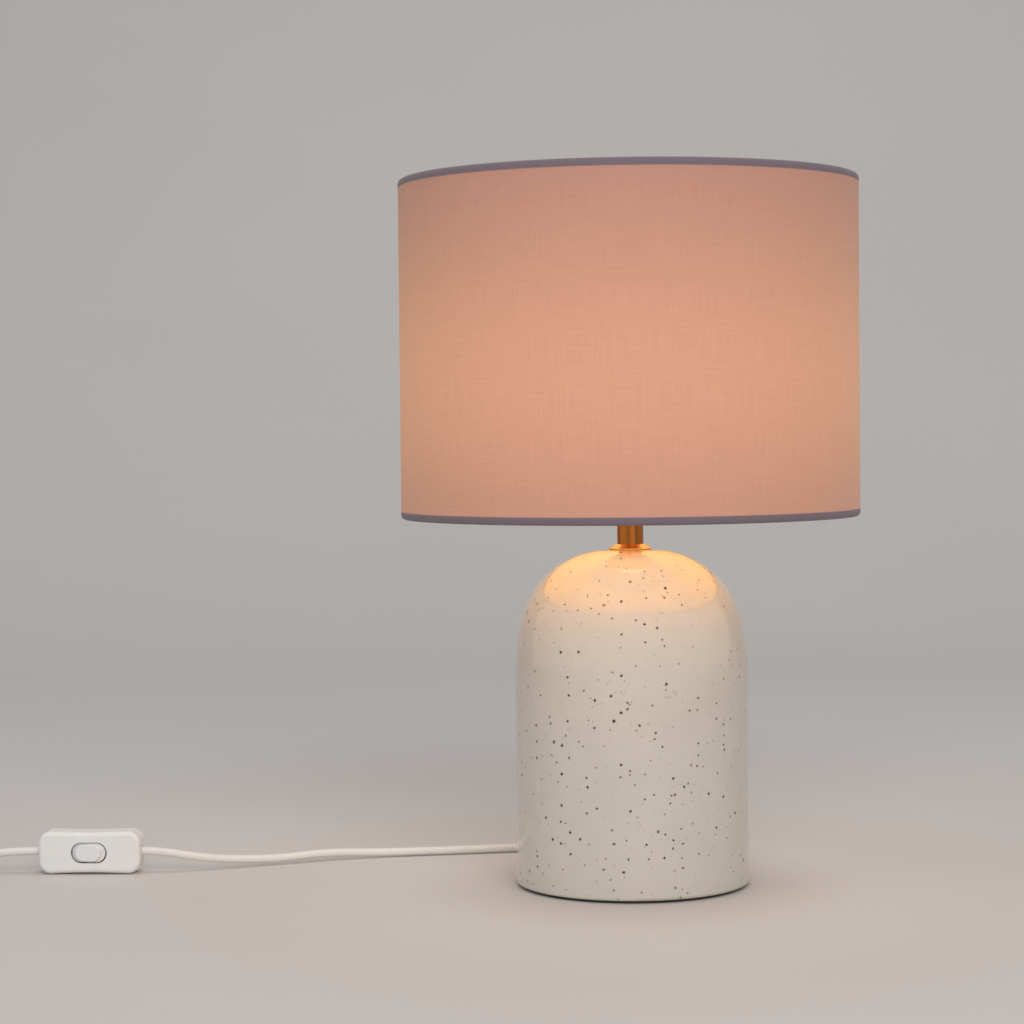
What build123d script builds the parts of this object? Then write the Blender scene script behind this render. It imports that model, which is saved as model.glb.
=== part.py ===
from build123d import *
import os
from math import acos, atan2, cos, degrees, pi, radians, sin, sqrt, tan

# Sizes are in millimetres. The floor is z = 0, the lamp's axis is Z and its front faces -Y.

# Ceramic base and its pad
PAD_T = 1.2
PAD_INSET = 3.0
BASE_R = 63.9
BASE_H = 182.4
BASE_WALL = 5.5
FLANK_R = 140.0
FLANK_TURN = 12.0
FOOT_EDGE_R = 1.6

# Brass neck and the nipple that ties it to the base
FLANGE_R = 11.6
FLANGE_H = 3.0
FLANGE_LIP_R = 0.5
FLANGE_SLOPE = 28.9
FLAT_MARGIN = 0.3
NECK_R = 7.2
NECK_H = 13.6
NIPPLE_R = 5.0
NIPPLE_BORE_R = 3.6
NIPPLE_TAIL = 5.0
NIPPLE_GRIP = 8.0
THREAD_GAP = 0.05
PASS_GAP = 0.4
RUBBER_WASHER_T = 2.0
STEEL_WASHER_T = 1.5
NUT_T = 4.0
NUT_FLATS = 14.0
WASHER_INSET = 0.6

# Lampholder
CAP_R = 16.5
CAP_BOSS_R = 8.5
CAP_BOSS_H = 1.0
CAP_WALL = 1.9
CAP_H = 22.0
LEDGE_H = 4.0
LEDGE_W = 2.2
INSERT_T = 6.0
INSERT_GAP = 0.2
LOCK_SCREW_R = 1.5
LOCK_SLOT_W = 0.6
LOCK_SLOT_DEPTH = 0.8
SPIGOT_WALL = 1.5
SHOULDER_W = 1.5
SHOULDER_T = 3.0
SKIRT_R = 14.0
SKIRT_WALL = 1.8
SKIRT_H = 30.0
SKIRT_PITCH = 2.5
SKIRT_GROOVE = 0.8
SKIRT_GROOVES = 9
SHELL_BORE_R = 7.3
SHELL_T = 0.4
SHELL_H = 22.0
CONTACT_R = 2.0
CONTACT_H = 3.0
STRIP_T = 0.8
STRIP_W = 4.0
CORE_R = 0.9
CORE_GAP = 0.2
TERMINAL_H = 4.6
TERMINAL_W = 4.8
TERMINAL_SCREW_R = 1.2
TERMINAL_HEAD_R = 1.7
TERMINAL_HEAD_T = 1.3
TERMINAL_SLOT_W = 0.6
TERMINAL_SLOT_DEPTH = 0.6

# Bulb
BULB_GAP = 0.15
BULB_LENGTH = 78.0
GLOBE_R = 22.5
GLASS_T = 0.8
GLASS_NECK_R = 8.0
GLASS_FLARE_R = 12.0
BULB_THREAD_R = 6.95
BULB_THREAD_DEPTH = 0.45
BULB_PITCH = 2.82
BULB_THREADS = 5
BULB_SHELL_T = 0.3
TIP_R = 2.2
TIP_H = 1.2
TIP_CHAMFER = 0.7
TIP_MARGIN = 0.3
INSULATOR_H = 3.8
CAP_LAP = 1.0
COLLAR_H = 3.0
STEM_R = 2.4
FILAMENT_R = 0.8
FILAMENT_L = 25.0
FILAMENTS = 4

# Shade and its wire frame
SHADE_R = 125.0
SHADE_H = 184.0
FITTER_RISE = 23.8
FABRIC_T = 0.6
LINER_T = 0.4
LINER_GAP = 0.05
WIRE_R = 1.0
WIRE_GAP = 0.4
HEM_TURN = 250.0
HEM_CLEAR = 0.3
SEAM_W = 10.0
SEAM_AT = 60.0
SPOKES = 3
SPOKE_R = 1.2
SPOKE_NOTCH = 0.3
SPOKE_BEND_R = 10.0
SPOKE_FLAT = 12.0
FITTER_GAP = 0.6
FITTER_W = 9.4
FITTER_T = 1.4
SEAT_GAP = 0.1
RING_GAP = 0.25
RING_R = 21.5
RING_FOOT_H = 3.0
RING_GRIP_R = 18.5
RING_H = 10.0
RING_FLUTES = 12
FLUTE_R = 1.2
FLUTE_OFFSET = 0.4

# Cord
CORD_D = 4.6
CORD_GAP = 0.1
EXIT_Z = 12.0
GROMMET_NECK_R = 4.4
GROMMET_FLANGE_R = 7.0
GROMMET_FLANGE_T = 1.5
GROMMET_NOSE_R = 3.2
GROMMET_NOSE_L = 13.0
GROMMET_TAPER = 1.2
GROMMET_BARB_R = 5.2
GROMMET_BARB_T = 1.5
GROMMET_GAP = 0.1
STOP_R = 5.5
STOP_L = 7.0
COIL_X = -404.0
COIL_TOP_Y = 36.5
COIL_R = 29.5
COIL_GAP = 0.5
COIL_LAYERS = 4
TIE_T = 0.8
TIE_W = 8.0
TIE_GAP = 0.2
TIE_TAB = 12.0

# Inline switch, drawn face up: length on X, width on Y, face towards +Z
SWITCH_X = -308.0
SWITCH_Y = 38.5
SWITCH_L = 58.0
SWITCH_W = 25.0
SWITCH_T = 17.0
SWITCH_WALL = 1.8
SWITCH_WAIST = 1.0
SWITCH_CORNER_R = 7.0
SWITCH_EDGE_R = 2.5
SWITCH_CORD_X = 19.5
ROCKER_L = 19.6
ROCKER_W = 10.8
ROCKER_GAP = 0.5
ROCKER_DEPTH = 4.0
ROCKER_BELLY = 2.6
ROCKER_SIDE = 1.0
ROCKER_SINK = 1.2
ROCKER_PAD_L = 15.2
ROCKER_PAD_W = 9.8
ROCKER_PAD_RISE = 0.9
ROCKER_PAD_EDGE_R = 0.8
ROCKER_REST = -8.0
TRUNNION_R = 1.5
TRUNNION_L = 2.4
TRUNNION_GAP = 0.06
SADDLE_L = 6.0
SADDLE_T = 2.6
SADDLE_LIP = 0.6
SADDLE_MOUTH = 2.4
PLUNGER_R = 1.4
PLUNGER_GAP = 0.08
BARREL_R = 2.6
BARREL_H = 1.6
PLUNGER_REACH = 6.2
PLUNGER_DEPTH = 2.4
SPRING_R = 1.1
SPRING_WIRE_R = 0.18
SPRING_L = 4.2
SPRING_TURNS = 4
SEESAW_DROP = 0.6
SEESAW_ARM = 7.4
SEESAW_W = 4.0
SEESAW_T = 0.8
SEESAW_RISE = 12.0
SEESAW_REST = 6.0
SEESAW_PIN_R = 0.8
SEESAW_PIN_GAP = 0.05
EAR_T = 0.8
EAR_GAP = 0.2
RIVET_R = 1.2
RIVET_H = 0.7
RIVET_X = 6.2
RIVET_GAP = 0.12
PLATE_T = 1.5
PLATE_X = 14.0
PLATE_Y = 3.8
PLATE_W = 4.6
LINK_Y = -6.2
LINK_W = 3.4
SCREW_R = 1.1
SCREW_GAP = 0.05
SCREW_HEAD_R = 1.7
SCREW_HEAD_T = 1.4
SCREW_SLOT_W = 0.5
CLAMP_X = 20.7
CLAMP_L = 3.8
CLAMP_W = 13.2
CLAMP_T = 2.2
CLAMP_SCREW_Y = 4.9
BOSS_R = 2.1
CASE_SCREW_X = 24.9
CASE_SCREW_Y = 7.0
CASE_HEAD_DEPTH = 2.0

# Plug, drawn with its pins towards +X
PLUG_FACE_Y = -111.0
PLUG_W = 26.0
PLUG_WAIST = 0.8
PLUG_T = 13.5
PLUG_L = 34.0
PLUG_GRIP = 18.0
PLUG_TAIL_W = 12.0
PLUG_TAIL_T = 10.0
PLUG_EDGE_R = 2.4
PIN_SPACING = 18.6
PIN_R = 2.0
PIN_L = 19.0
PIN_CORE_R = 1.3
PIN_ROOT = 8.0
SLEEVE_L = 10.0
SLEEVE_R = 1.75
SLEEVE_GAP = 0.03
RELIEF_L = 22.0
RELIEF_ROOT_R = 4.4
RELIEF_TIP_R = 3.3
RELIEF_GROOVES = 4
RELIEF_GROOVE = 1.2
RELIEF_SOCKET = 15.0

CORD_R = CORD_D / 2
CORD_BORE_R = CORD_R + CORD_GAP
UP = (Align.CENTER, Align.CENTER, Align.MIN)

parts = {}


def line(*points):
    """Straight runs through (radius, height) points in the XZ plane."""
    return Polyline(*[(r, 0, z) for r, z in points])


def bend(r, z, radius, start, stop):
    """Arc about (r, z) in the XZ plane, between two angles in degrees."""
    turns = [radians(a) for a in (start, (start + stop) / 2, stop)]
    return ThreePointArc(*[(r + radius * cos(a), 0, z + radius * sin(a)) for a in turns])


def turned(*outline):
    """Solid of revolution about Z from runs and arcs that close on themselves."""
    edges = [edge for piece in outline for edge in piece.edges()]
    return revolve(make_face(edges), axis=Axis.Z)


def turned_points(*points):
    """Solid of revolution about Z from a closed row of (radius, height) points."""
    return turned(line(*points, points[0]))


def disc(radius, bottom, height, bore=0.0):
    """Upright disc, or a ring if it has a bore."""
    if bore:
        top = bottom + height
        return turned_points((bore, bottom), (radius, bottom), (radius, top), (bore, top))
    return Pos(0, 0, bottom) * Cylinder(radius, height, align=UP)


def block(x0, x1, y0, y1, z0, z1):
    """Box between two corners."""
    return Pos((x0 + x1) / 2, (y0 + y1) / 2, (z0 + z1) / 2) * Box(x1 - x0, y1 - y0, z1 - z0)


def tube(path, radius):
    """Round section swept along a path."""
    return sweep(Plane(origin=path @ 0, z_dir=path % 0) * Circle(radius), path=path)


def free_cord(name, points):
    """Round cord through corner points, with the widest arc that each corner takes."""
    corners = [Vector(*p) for p in points]
    radii = []
    for before, here, after in zip(corners, corners[1:], corners[2:]):
        run_in = here - before
        run_out = after - here
        turn = acos(max(-1.0, min(1.0, run_in.normalized().dot(run_out.normalized()))))
        radii.append(0.45 * min(run_in.length, run_out.length) / tan(turn / 2))
    path = FilletPolyline(*corners, radius=radii)
    cord = tube(path, CORD_R)
    share = cord.volume / (pi * CORD_R**2 * path.length)
    print(name, "length", round(path.length, 1), "volume share", round(share, 4))
    print(name, "radii", [round(r, 1) for r in radii])
    return cord


def biarc(p0, t0, p1, t1):
    """Two arcs in space that join two points along their given directions."""
    v = p1 - p0
    t = t0 + t1
    spare = 1 - t0.dot(t1)
    reach = (sqrt(v.dot(t) ** 2 + 2 * spare * v.dot(v)) - v.dot(t)) / (2 * spare)
    joint = (p0 + p1 + (t0 - t1) * reach) * 0.5
    middle = (p1 - t1 * reach) - (p0 + t0 * reach)
    return [TangentArc(p0, joint, tangent=t0), TangentArc(joint, p1, tangent=middle.normalized())]


# Ceramic base: straight wall, long flank arc, shoulder arc and a flat seat for the flange
Z_FOOT = PAD_T
Z_DOME = Z_FOOT + BASE_H
SEAT_R = FLANGE_R + FLAT_MARGIN
TURN = radians(FLANK_TURN)
SHOULDER_R = (BASE_R - FLANK_R * (1 - cos(TURN)) - SEAT_R) / cos(TURN)
SHOULDER_Z = Z_DOME - SHOULDER_R
FLANK_Z = SHOULDER_Z + (SHOULDER_R - FLANK_R) * sin(TURN)
INNER_R = BASE_R - BASE_WALL
Z_CEILING = Z_DOME - BASE_WALL
NIPPLE_HOLE_R = NIPPLE_R + PASS_GAP
GROMMET_HOLE_R = GROMMET_NECK_R + GROMMET_GAP

base = turned(
    line((INNER_R, Z_FOOT), (BASE_R - FOOT_EDGE_R, Z_FOOT)),
    bend(BASE_R - FOOT_EDGE_R, Z_FOOT + FOOT_EDGE_R, FOOT_EDGE_R, -90, 0),
    line((BASE_R, Z_FOOT + FOOT_EDGE_R), (BASE_R, FLANK_Z)),
    bend(BASE_R - FLANK_R, FLANK_Z, FLANK_R, 0, FLANK_TURN),
    bend(SEAT_R, SHOULDER_Z, SHOULDER_R, FLANK_TURN, 90),
    line((SEAT_R, Z_DOME), (NIPPLE_HOLE_R, Z_DOME), (NIPPLE_HOLE_R, Z_CEILING), (SEAT_R, Z_CEILING)),
    bend(SEAT_R, SHOULDER_Z, SHOULDER_R - BASE_WALL, 90, FLANK_TURN),
    bend(BASE_R - FLANK_R, FLANK_Z, FLANK_R - BASE_WALL, FLANK_TURN, 0),
    line((INNER_R, FLANK_Z), (INNER_R, Z_FOOT)),
)
to_back = Pos(0, 0, EXIT_Z) * Rot(-90, 0, 0)
parts["ceramic_base"] = base - to_back * disc(GROMMET_HOLE_R, INNER_R - BASE_WALL, 3 * BASE_WALL)
parts["base_pad"] = disc(BASE_R - PAD_INSET, 0, PAD_T)

# Neck: flange on the dome, tube on the flange, nipple through both, washers and nut under the ceiling
Z_FLANGE = Z_DOME + FLANGE_H
Z_NECK = Z_FLANGE + NECK_H
NECK_BORE_R = NIPPLE_R + PASS_GAP
LIP_R = FLANGE_R - FLANGE_LIP_R
LIP_Z = Z_DOME + FLANGE_LIP_R
slope_r = LIP_R + FLANGE_LIP_R * sin(radians(FLANGE_SLOPE))
slope_z = LIP_Z + FLANGE_LIP_R * cos(radians(FLANGE_SLOPE))
parts["neck_flange"] = turned(
    line((NECK_BORE_R, Z_DOME), (LIP_R, Z_DOME)),
    bend(LIP_R, LIP_Z, FLANGE_LIP_R, -90, 90 - FLANGE_SLOPE),
    line((slope_r, slope_z), (NECK_R + PASS_GAP, Z_FLANGE), (NECK_BORE_R, Z_FLANGE), (NECK_BORE_R, Z_DOME)),
)
parts["neck_tube"] = disc(NECK_R, Z_FLANGE, NECK_H, NECK_BORE_R)
Z_RUBBER = Z_CEILING - RUBBER_WASHER_T
Z_STEEL = Z_RUBBER - STEEL_WASHER_T
Z_NUT = Z_STEEL - NUT_T
Z_NIPPLE = Z_NUT - NIPPLE_TAIL
parts["nipple_rubber_washer"] = disc(SEAT_R - WASHER_INSET, Z_RUBBER, RUBBER_WASHER_T, NIPPLE_HOLE_R)
parts["nipple_steel_washer"] = disc(SEAT_R - 2 * WASHER_INSET, Z_STEEL, STEEL_WASHER_T, NIPPLE_HOLE_R)
nut = extrude(RegularPolygon(NUT_FLATS / 2, 6, major_radius=False), NUT_T)
parts["nipple_nut"] = Pos(0, 0, Z_NUT) * (nut - disc(NIPPLE_R + THREAD_GAP, 0, NUT_T))
Z_GRIP = Z_NECK + NIPPLE_GRIP
parts["threaded_nipple"] = disc(NIPPLE_R, Z_NIPPLE, Z_GRIP - Z_NIPPLE, NIPPLE_BORE_R)

# Lampholder cap with its lock screw, screwed down on the neck
CAP_BORE_R = NIPPLE_R + THREAD_GAP
CAP_CURVE_R = CAP_R - CAP_BOSS_R
CAP_INNER_R = CAP_R - CAP_WALL
Z_CAP = Z_NECK + CAP_H
Z_LEDGE = Z_GRIP + LEDGE_H
LEDGE_R = CAP_INNER_R - LEDGE_W
cap = turned(
    line((CAP_BORE_R, Z_NECK), (CAP_BOSS_R, Z_NECK), (CAP_BOSS_R, Z_NECK + CAP_BOSS_H)),
    bend(CAP_BOSS_R, Z_NECK + CAP_BOSS_H + CAP_CURVE_R, CAP_CURVE_R, -90, 0),
    line(
        (CAP_R, Z_NECK + CAP_BOSS_H + CAP_CURVE_R),
        (CAP_R, Z_CAP),
        (CAP_INNER_R, Z_CAP),
        (CAP_INNER_R, Z_LEDGE),
        (LEDGE_R, Z_LEDGE),
        (LEDGE_R, Z_GRIP),
        (CAP_BORE_R, Z_GRIP),
        (CAP_BORE_R, Z_NECK),
    ),
)
Z_LOCK = Z_NECK + NIPPLE_GRIP / 2
LOCK_L = CAP_BOSS_R - CAP_BORE_R
lock_axis = Pos(0, 0, Z_LOCK) * Rot(-90, 0, 0)
lock_hole = lock_axis * disc(LOCK_SCREW_R + THREAD_GAP, CAP_BORE_R - THREAD_GAP, CAP_R)
parts["lampholder_cap"] = cap - lock_hole
lock_half = LOCK_SLOT_W / 2
lock_slot = block(
    -LOCK_SCREW_R, LOCK_SCREW_R, -lock_half, lock_half, CAP_BOSS_R - LOCK_SLOT_DEPTH, CAP_BOSS_R
)
lock_screw = disc(LOCK_SCREW_R, CAP_BORE_R, LOCK_L) - lock_slot
parts["lampholder_lock_screw"] = lock_axis * lock_screw

# Insert on the ledge, with the contact strip in its groove and a terminal at each side
INSERT_R = CAP_INNER_R - INSERT_GAP
Z_INSERT = Z_LEDGE + INSERT_T
SHELL_R = SHELL_BORE_R + SHELL_T
SPIGOT_R = CAP_INNER_R - INSERT_GAP
SPIGOT_BORE_R = SPIGOT_R - SPIGOT_WALL
TERMINAL_OUT = sqrt(SPIGOT_BORE_R**2 - (TERMINAL_W / 2) ** 2) - INSERT_GAP
NEUTRAL_IN = SHELL_R + THREAD_GAP
LIVE_IN = SHELL_R + 3 * INSERT_GAP
CORE_X = (LIVE_IN + TERMINAL_OUT) / 2
CORE_HOLE_R = CORE_R + CORE_GAP
Z_STRIP = Z_INSERT - 2 * STRIP_T
groove_y = STRIP_W / 2 + CORD_GAP
Z_CORE = Z_INSERT + TERMINAL_H / 2
core_holes = [Pos(x, 0, 0) * disc(CORE_HOLE_R, Z_GRIP, Z_CORE - Z_GRIP) for x in (-CORE_X, CORE_X)]
insert = disc(INSERT_R, Z_LEDGE, INSERT_T)
insert -= block(-TERMINAL_OUT - CORD_GAP, CONTACT_R + CORD_GAP, -groove_y, groove_y, Z_STRIP, Z_INSERT)
parts["lampholder_insert"] = insert - core_holes
strip = block(-TERMINAL_OUT, CONTACT_R, -STRIP_W / 2, STRIP_W / 2, Z_STRIP, Z_STRIP + STRIP_T)
Z_CONTACT = Z_INSERT + CONTACT_H
strip += disc(CONTACT_R, Z_STRIP, Z_CONTACT - Z_STRIP)
parts["lampholder_centre_contact"] = strip - core_holes
Z_TERMINAL = Z_INSERT + TERMINAL_H
half_w = TERMINAL_W / 2
neutral = block(NEUTRAL_IN, TERMINAL_OUT, -half_w, half_w, Z_INSERT, Z_TERMINAL)
live = block(-TERMINAL_OUT, -LIVE_IN, -half_w, half_w, Z_INSERT, Z_TERMINAL)
live += block(-TERMINAL_OUT, -LIVE_IN, -STRIP_W / 2, STRIP_W / 2, Z_STRIP + STRIP_T, Z_INSERT)
SCREW_L = TERMINAL_H / 2 - 2 * CORE_GAP
screw_axes = [Pos(x, 0, Z_TERMINAL) for x in (-CORE_X, CORE_X)]
slot_half = TERMINAL_SLOT_W / 2
slot_z = TERMINAL_HEAD_T - TERMINAL_SLOT_DEPTH
terminal_screw = disc(TERMINAL_SCREW_R, -SCREW_L, SCREW_L) + disc(TERMINAL_HEAD_R, 0, TERMINAL_HEAD_T)
terminal_screw -= block(-TERMINAL_HEAD_R, TERMINAL_HEAD_R, -slot_half, slot_half, slot_z, TERMINAL_HEAD_T)
tapped = disc(TERMINAL_SCREW_R + THREAD_GAP, -SCREW_L - THREAD_GAP, TERMINAL_H)
wire_ways = core_holes + [axis * tapped for axis in screw_axes]
parts["lampholder_terminals"] = Compound([live - wire_ways, neutral - wire_ways])
parts["lampholder_terminal_screws"] = Compound([axis * terminal_screw for axis in screw_axes])
parts["lampholder_screw_shell"] = disc(SHELL_R, Z_INSERT, SHELL_H, SHELL_BORE_R)

# Skirt: spigot in the cap, shoulder for the shade and a threaded sleeve
SHOULDER_RIM_R = CAP_R + SHOULDER_W
Z_SHOULDER = Z_CAP + SHOULDER_T
Z_SKIRT = Z_SHOULDER + SKIRT_H
SKIRT_BORE_R = SKIRT_R - SKIRT_WALL
thread = []
for i in range(SKIRT_GROOVES):
    z = Z_SHOULDER + (i + 1) * SKIRT_PITCH
    thread += [(SKIRT_R, z), (SKIRT_R - SKIRT_GROOVE, z + SKIRT_GROOVE), (SKIRT_R, z + 2 * SKIRT_GROOVE)]
parts["lampholder_skirt"] = turned_points(
    (SPIGOT_BORE_R, Z_INSERT),
    (SPIGOT_R, Z_INSERT),
    (SPIGOT_R, Z_CAP),
    (SHOULDER_RIM_R, Z_CAP),
    (SHOULDER_RIM_R, Z_SHOULDER),
    (SKIRT_R, Z_SHOULDER),
    *thread,
    (SKIRT_R, Z_SKIRT - SKIRT_GROOVE),
    (SKIRT_R - SKIRT_GROOVE, Z_SKIRT),
    (SKIRT_BORE_R, Z_SKIRT),
    (SKIRT_BORE_R, Z_CAP + SHOULDER_T / 2),
    (SPIGOT_BORE_R, Z_CAP),
)

# Bulb, from its tip contact up
Z_TIP = Z_CONTACT + BULB_GAP
Z_INSULATOR = Z_TIP + TIP_H + INSULATOR_H
BULB_BORE_R = BULB_THREAD_R - BULB_THREAD_DEPTH - BULB_SHELL_T
INSULATOR_R = BULB_BORE_R - THREAD_GAP
Z_BULB_SHELL = Z_INSULATOR - CAP_LAP
Z_THREAD_END = Z_BULB_SHELL + (BULB_THREADS + 0.5) * BULB_PITCH
COLLAR_R = GLASS_NECK_R + THREAD_GAP + BULB_SHELL_T
Z_COLLAR = Z_THREAD_END + COLLAR_R - BULB_BORE_R
Z_GLASS = Z_COLLAR + BULB_SHELL_T
Z_TIP_END = Z_TIP + TIP_H
parts["bulb_tip_contact"] = turned_points(
    (0, Z_TIP), (TIP_R - TIP_CHAMFER, Z_TIP), (TIP_R, Z_TIP + TIP_H / 2), (TIP_R, Z_TIP_END), (0, Z_TIP_END)
)
parts["bulb_insulator"] = turned_points(
    (0, Z_TIP_END),
    (TIP_R + TIP_MARGIN, Z_TIP_END),
    (INSULATOR_R, Z_BULB_SHELL),
    (INSULATOR_R, Z_INSULATOR),
    (0, Z_INSULATOR),
)
bulb_thread = []
for i in range(BULB_THREADS):
    z = Z_BULB_SHELL + (i + 0.5) * BULB_PITCH
    bulb_thread += [(BULB_THREAD_R - BULB_THREAD_DEPTH, z), (BULB_THREAD_R, z + BULB_PITCH / 2)]
parts["bulb_cap"] = turned_points(
    (BULB_BORE_R, Z_BULB_SHELL),
    (BULB_THREAD_R - BULB_THREAD_DEPTH, Z_BULB_SHELL),
    *bulb_thread,
    (BULB_THREAD_R - BULB_THREAD_DEPTH, Z_THREAD_END),
    (COLLAR_R, Z_COLLAR),
    (COLLAR_R, Z_GLASS + COLLAR_H),
    (COLLAR_R - BULB_SHELL_T, Z_GLASS + COLLAR_H),
    (COLLAR_R - BULB_SHELL_T, Z_COLLAR + BULB_SHELL_T / 2),
    (BULB_BORE_R, Z_THREAD_END),
)
Z_GLOBE = Z_TIP + BULB_LENGTH - GLOBE_R
FLARE_X = GLASS_NECK_R + GLASS_FLARE_R
FLARE_DROP = sqrt((GLOBE_R + GLASS_FLARE_R) ** 2 - FLARE_X**2)
FLARE_ANGLE = degrees(atan2(FLARE_DROP, -FLARE_X))
Z_FLARE = Z_GLOBE - FLARE_DROP
GLASS_IN_R = GLOBE_R - GLASS_T
parts["bulb_glass"] = turned(
    line((GLASS_NECK_R - GLASS_T, Z_GLASS), (GLASS_NECK_R, Z_GLASS), (GLASS_NECK_R, Z_FLARE)),
    bend(FLARE_X, Z_FLARE, GLASS_FLARE_R, 180, FLARE_ANGLE),
    bend(0, Z_GLOBE, GLOBE_R, FLARE_ANGLE - 180, 90),
    line((0, Z_GLOBE + GLOBE_R), (0, Z_GLOBE + GLASS_IN_R)),
    bend(0, Z_GLOBE, GLASS_IN_R, 90, FLARE_ANGLE - 180),
    bend(FLARE_X, Z_FLARE, GLASS_FLARE_R + GLASS_T, FLARE_ANGLE, 180),
    line((GLASS_NECK_R - GLASS_T, Z_FLARE), (GLASS_NECK_R - GLASS_T, Z_GLASS)),
)
FLANGE_STEM_R = GLASS_NECK_R - GLASS_T - THREAD_GAP
FILAMENT_RING_R = 2 * STEM_R
Z_FILAMENT = Z_GLOBE - FILAMENT_L / 2
Z_FILAMENT_TOP = Z_GLOBE + FILAMENT_L / 2
HOLDER_R = FILAMENT_RING_R + FILAMENT_R
parts["bulb_stem"] = turned_points(
    (0, Z_GLASS),
    (FLANGE_STEM_R, Z_GLASS),
    (FLANGE_STEM_R, Z_GLASS + GLASS_T),
    (STEM_R, Z_GLASS + GLASS_T + STEM_R),
    (STEM_R, Z_FILAMENT - GLASS_T),
    (HOLDER_R, Z_FILAMENT - GLASS_T),
    (HOLDER_R, Z_FILAMENT),
    (STEM_R / 2, Z_FILAMENT),
    (STEM_R / 2, Z_FILAMENT_TOP),
    (HOLDER_R, Z_FILAMENT_TOP),
    (HOLDER_R, Z_FILAMENT_TOP + GLASS_T),
    (0, Z_FILAMENT_TOP + GLASS_T),
)
filament_spots = PolarLocations(FILAMENT_RING_R, FILAMENTS)
filament = disc(FILAMENT_R, Z_FILAMENT, FILAMENT_L)
parts["bulb_filaments"] = Compound([spot * filament for spot in filament_spots])

# Shade: fabric rolled round a wire at each rim, stiff liner, lap seam at the back
Z_FITTER = Z_SHOULDER + SEAT_GAP
Z_RIM = Z_FITTER - FITTER_RISE
Z_TOP = Z_RIM + SHADE_H
HEM_R = WIRE_R + WIRE_GAP + FABRIC_T
HEM_IN_R = HEM_R - FABRIC_T
HEM_X = SHADE_R - HEM_R
Z_HEM_LOW = Z_RIM + HEM_R
Z_HEM_HIGH = Z_TOP - HEM_R


def hem_end(z, turn):
    """Cut end of the rolled fabric, across its thickness."""
    a = radians(turn)
    ends = [(HEM_X + r * cos(a), z + r * sin(a)) for r in (HEM_R, HEM_IN_R)]
    return line(*ends)


fabric = turned(
    line((SHADE_R, Z_HEM_LOW), (SHADE_R, Z_HEM_HIGH)),
    bend(HEM_X, Z_HEM_HIGH, HEM_R, 0, HEM_TURN),
    hem_end(Z_HEM_HIGH, HEM_TURN),
    bend(HEM_X, Z_HEM_HIGH, HEM_IN_R, HEM_TURN, 0),
    line((SHADE_R - FABRIC_T, Z_HEM_HIGH), (SHADE_R - FABRIC_T, Z_HEM_LOW)),
    bend(HEM_X, Z_HEM_LOW, HEM_IN_R, 0, -HEM_TURN),
    hem_end(Z_HEM_LOW, -HEM_TURN),
    bend(HEM_X, Z_HEM_LOW, HEM_R, -HEM_TURN, 0),
)
SEAM_TURN = degrees(SEAM_W / SHADE_R)
lap_points = [
    (SHADE_R - FABRIC_T / 2, 0, Z_HEM_LOW),
    (SHADE_R + FABRIC_T, 0, Z_HEM_LOW),
    (SHADE_R + FABRIC_T, 0, Z_HEM_HIGH),
    (SHADE_R - FABRIC_T / 2, 0, Z_HEM_HIGH),
]
lap = revolve(make_face(Polyline(*lap_points, close=True)), axis=Axis.Z, revolution_arc=SEAM_TURN)
fabric += Rot(0, 0, SEAM_AT) * lap
LINER_R = SHADE_R - FABRIC_T - LINER_GAP
Z_LINER = Z_HEM_LOW + HEM_R + HEM_CLEAR
Z_LINER_TOP = Z_HEM_HIGH - HEM_R - HEM_CLEAR
parts["shade_liner"] = disc(LINER_R, Z_LINER, Z_LINER_TOP - Z_LINER, LINER_R - LINER_T)
ring_low = Pos(0, 0, Z_HEM_LOW) * Torus(HEM_X, WIRE_R)
parts["shade_bottom_ring"] = ring_low
parts["shade_top_ring"] = Pos(0, 0, Z_HEM_HIGH) * Torus(HEM_X, WIRE_R)

# Fitter ring on the lampholder's shoulder, carried by three spokes from the bottom ring
FITTER_BORE_R = SKIRT_R + FITTER_GAP
FITTER_R = FITTER_BORE_R + FITTER_W
parts["shade_fitter"] = disc(FITTER_R, Z_FITTER, FITTER_T, FITTER_BORE_R)
Z_SPOKE = Z_FITTER - SPOKE_R
SPOKE_IN = SHOULDER_RIM_R + FITTER_GAP
SPOKE_KNEE = SPOKE_IN + SPOKE_FLAT
spoke_path = FilletPolyline(
    (HEM_X, 0, Z_HEM_LOW), (SPOKE_KNEE, 0, Z_SPOKE), (SPOKE_IN, 0, Z_SPOKE), radius=SPOKE_BEND_R
)
spoke = tube(spoke_path, SPOKE_R) - ring_low
notch_dir = spoke_path % 0
notch = Plane(origin=spoke_path @ 0, z_dir=notch_dir) * disc(SPOKE_R + SPOKE_NOTCH, 0, 3 * HEM_R)
spoke_turns = [Rot(0, 0, 90 + i * 360 / SPOKES) for i in range(SPOKES)]
parts["shade_spokes"] = Compound([turn * spoke for turn in spoke_turns])
parts["shade_fabric"] = fabric - [turn * notch for turn in spoke_turns]

# Clamp ring that holds the fitter down
Z_RING = Z_FITTER + FITTER_T + SEAT_GAP
RING_BORE_R = SKIRT_R + RING_GAP
ring = turned_points(
    (RING_BORE_R, Z_RING),
    (RING_R, Z_RING),
    (RING_R, Z_RING + RING_FOOT_H),
    (RING_GRIP_R, Z_RING + RING_FOOT_H + FLUTE_R),
    (RING_GRIP_R, Z_RING + RING_H),
    (RING_BORE_R, Z_RING + RING_H),
)
flute_spots = PolarLocations(RING_GRIP_R + FLUTE_OFFSET, RING_FLUTES)
flutes = [spot * disc(FLUTE_R, Z_RING + RING_FOOT_H, RING_H) for spot in flute_spots]
parts["shade_clamp_ring"] = ring - flutes

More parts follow.
